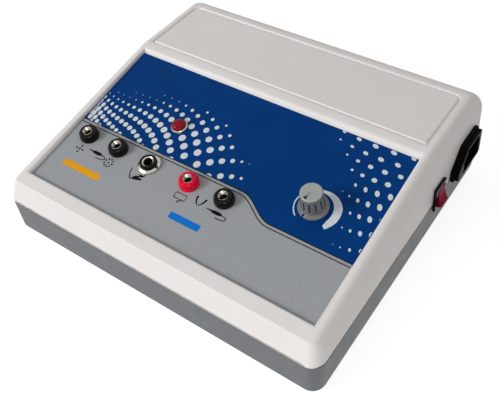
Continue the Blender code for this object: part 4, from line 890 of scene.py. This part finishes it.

# Dark red hot-stamped foil: a small flat mark with a dull shine, thin at its edges. The line
# behind it is painted shade: a thin dark grey strip standing for the shade in a shallow moulded
# groove.
pointer_mark = lofted("pointer_mark", upright(1.0, 4.35, 5.7, cap_face - 0.4, cap_face + 0.03))
pointer_line = lofted("pointer_line", upright(0.25, 0.4, 4.3, cap_face - 0.4, cap_face + 0.02))
red_foil = ink("hot_stamped_red_foil", "#5E0A14", 0.3)
finished(pointer_mark, "intensity_knob", red_foil)
# Painted shade for the pointer's groove, as a dark grey strip.
painted_groove_shade = ink("painted_groove_shade_grey", "#5C6261", 0.5)
finished(pointer_line, "intensity_knob", painted_groove_shade)
dress(nickel, "potentiometer", "potentiometer_nut")

# Turned brass: a yellow metal with the lathe's fine rings, dulled a little.
dress(plated("turned_brass", "#B89B58", 0.28), "potentiometer_shaft")


# Rocker switch. The real one is a snap-in mains switch: a glossy black nylon bezel and body with
# a deep red translucent paddle, and two tinned blade terminals.
# Glossy red polycarbonate: a wine red that goes darker in its dip, with broad soft highlights.
paddle = {"grain": 1.2, "depth": 0.004, "specular": 0.02, "rub_and_highlight": 0.0}
paddle_red = moulded("glossy_red_polycarbonate", "#8C0A2E", 0.3, **paddle)
dress(black_nylon, "rocker_bezel")
dress(paddle_red, "rocker_paddle")
dress(nickel, "rocker_terminal_lower", "rocker_terminal_upper")


# Mains inlet. The real one is a chassis inlet in glossy black polyester with a stepped flange, a
# six-sided mouth and three plated pins.
# Moulded black polyester: nearly black and smooth, with thin lines of light along its steps.
black = {"grain": 0.8, "depth": 0.006, "cloud": 0.05, "specular": 0.04}
inlet_black = moulded("moulded_black_polyester", "#050506", 0.4, **black)
dress(inlet_black, "inlet_body")
dress(nickel, "inlet_pin_front", "inlet_pin_rear", "inlet_pin_earth")


# Circuit board with its larger parts. The real board is green glass-epoxy with tracks, and
# carries a relay, two capacitors, a coil and a power transistor on an aluminium heat sink.
def board_material():
    made, tree, shader, mm = blank_material("solder_masked_glass_epoxy")
    pattern = {"Color1": shade("#1E5A3A"), "Color2": shade("#226642"), "Mortar": shade("#2F7A50")}
    pattern |= {"Vector": mm, "Scale": 1.0, "Mortar Size": 0.35}
    pattern |= {"Brick Width": 14.0, "Row Height": 3.2}
    tracks = add(tree, "ShaderNodeTexBrick", pattern)
    raised = add(tree, "ShaderNodeBump", {"Height": tracks.outputs["Fac"], "Distance": 0.03 * MM})
    surface = {"Base Color": tracks.outputs["Color"], "Roughness": patches(tree, mm, 3, 0.3, 0.42)}
    feed(tree, shader, surface | {"Normal": raised.outputs["Normal"]})
    return made


# Zinc-plated steel: a cool bright grey with a slight bloom. Anodised aluminium: a matt pale
# metal. Solder-masked glass-epoxy: glossy green with paler raised tracks.
steel = plated("zinc_plated_steel", "#A9ABAD", 0.32, 0.08)
aluminium = plated("anodised_aluminium", "#A7A9AC", 0.4, 0.05)
dress(board_material(), "circuit_board")
corners = ("front_left", "front_right", "rear_left", "rear_right")
dress(steel, *("board_screw_" + corner for corner in corners))
dress(aluminium, "heat_sink")
dress(black_nylon, "power_transistor", "capacitor_1", "capacitor_2", "output_coil_former")
dress(moulded("moulded_blue_relay_case", "#2F6FB0", 0.35, grain=0.8, depth=0.006), "relay")


# Windings and transformer. The real coil is enamelled copper wire in layers; the transformer is a
# stack of varnished steel sheets with a taped winding, under a steel strap.
def wound(name, colour, pitch, roughness=0.35):
    """Close turns of wire, one pitch apart, round an upright axis. The grooves between the turns
    are painted darker as shade.
    """
    made, tree, shader, mm = blank_material(name)
    rows = {"Vector": mm, "Scale": wave_scale / pitch, "Distortion": 0.3}
    turns = add(tree, "ShaderNodeTexWave", rows, bands_direction="Z")
    # Painted shade: the colour falls to 0.45 of itself in the grooves between turns.
    groove_shade = {0: turns.outputs["Fac"], 6: shade(colour, 0.45), 7: shade(colour)}
    tint = add(tree, "ShaderNodeMix", groove_shade, data_type="RGBA")
    ridges = {"Height": turns.outputs["Fac"], "Distance": 0.25 * pitch * MM}
    ridges = add(tree, "ShaderNodeBump", ridges)
    surface = {"Base Color": tint.outputs[2], "Roughness": roughness}
    feed(tree, shader, surface | {"Normal": ridges.outputs["Normal"]})
    return made


# Enamelled copper wire: shiny brown turns side by side. Polyester tape: smooth amber laps.
# Varnished steel sheets: a dark, dull stack with fine level lines.
dress(wound("enamelled_copper_wire", "#B5713A", 0.8), "output_coil_winding")
dress(wound("polyester_winding_tape", "#C8963A", 9.0, 0.5), "transformer_winding")
dress(wound("varnished_core_sheets", "#5A5A5E", 0.5, 0.5), "transformer_core")
dress(steel, "transformer_strap", "strap_screw_left", "strap_screw_right")


# Feet and case screws. The real feet are black rubber buttons pressed into the tray, and four
# zinc-plated self-tapping screws come up through it into bosses.
# Moulded black rubber: matt and slightly grey, with a coarse skin.
rubber = moulded("moulded_black_rubber", "#1E1F21", 0.75, grain=0.35, depth=0.03, specular=0.3)
dress(rubber, *("foot_" + corner for corner in corners))
dress(steel, *("case_screw_" + corner for corner in corners))


# Studio. A plain pale floor under a soft key from the front left, a weak fill at the front right,
# a weak light overhead and an even sky, with the camera where the photograph was taken from.
def shown_white(tree, plain, bright):
    """The bright shader where the camera, a gloss or a clear piece looks, else the plain one."""
    seen = add(tree, "ShaderNodeLightPath").outputs
    rays = {0: seen["Is Camera Ray"], 1: seen["Is Glossy Ray"]}
    first = add(tree, "ShaderNodeMath", rays, operation="MAXIMUM")
    rays = {0: first.outputs[0], 1: seen["Is Transmission Ray"]}
    every = add(tree, "ShaderNodeMath", rays, operation="MAXIMUM")
    return add(tree, "ShaderNodeMixShader", {0: every.outputs[0], 1: plain, 2: bright}).outputs[0]


def studio_floor():
    """Matt white paper, lit as the object is and lifted to white where it is seen."""
    made, tree, shader = blank_material("matt_floor_paper")[:3]
    grey = (0.5, 0.5, 0.5, 1)
    feed(tree, shader, {"Base Color": grey, "Roughness": 0.9, "Specular IOR Level": 0.1})
    white = add(tree, "ShaderNodeEmission", {"Color": (1, 1, 1, 1), "Strength": floor_lift})
    both = add(tree, "ShaderNodeAddShader", {0: shader.outputs[0], 1: white.outputs[0]})
    surface = shown_white(tree, shader.outputs[0], both.outputs[0])
    feed(tree, tree.nodes["Material Output"], {"Surface": surface})
    return made


floor_lift = 0.8
floor_mesh = bpy.data.meshes.new("floor")
floor_mesh.from_pydata([(-4, -4, 0), (4, -4, 0), (4, 4, 0), (-4, 4, 0)], [], [(0, 1, 2, 3)])
floor_mesh.materials.append(studio_floor())
floor = in_scene("floor", floor_mesh)


def softbox(name, place, target, width, height, power):
    light = bpy.data.lights.new(name, "AREA")
    light.shape = "RECTANGLE"
    light.size, light.size_y = width, height
    light.energy = power
    made = in_scene(name, light)
    made.location = place
    made.rotation_euler = (Vector(target) - Vector(place)).to_track_quat("-Z", "Y").to_euler()


softbox("key", (-1.1, -1.35, 0.95), (0, 0, 0.04), 0.9, 0.8, 22.0)
softbox("fill", (0.4, -0.48, 0.2), (0.12, -0.08, 0.05), 0.3, 0.3, 0.6)
softbox("overhead", (0.1, 0.4, 1.6), (0, 0, 0.04), 1.2, 1.2, 0.8)

world = bpy.context.scene.world or bpy.data.worlds.new("studio_sky")
bpy.context.scene.world = world
world.use_nodes = True
sky = world.node_tree
sky.nodes.clear()
soft = add(sky, "ShaderNodeBackground", {"Color": (1, 1, 1, 1), "Strength": 0.35})
plain = add(sky, "ShaderNodeBackground", {"Color": (1, 1, 1, 1), "Strength": 1.0})
add(sky, "ShaderNodeOutputWorld", {"Surface": shown_white(sky, soft.outputs[0], plain.outputs[0])})

camera_data = bpy.data.cameras.new("camera")
camera_data.lens = 49.07
camera_data.sensor_width = 36
camera_data.clip_start = 0.01
camera = in_scene("camera", camera_data)
# The camera's own axes and its place in mm, as the photograph's edges give them.
right = Vector((0.81989558, 0.56926524, -0.06089595))
down = Vector((0.3855178, -0.62760395, -0.67637956))
ahead = Vector((-0.42325791, 0.53108414, -0.73403159))
turned = Matrix((right, -down, -ahead)).transposed().to_4x4()
camera.matrix_world = Matrix.Translation(Vector((202.79, -259.43, 351.14)) * MM) @ turned
bpy.context.scene.camera = camera
bpy.context.scene.view_settings.view_transform = "Standard"
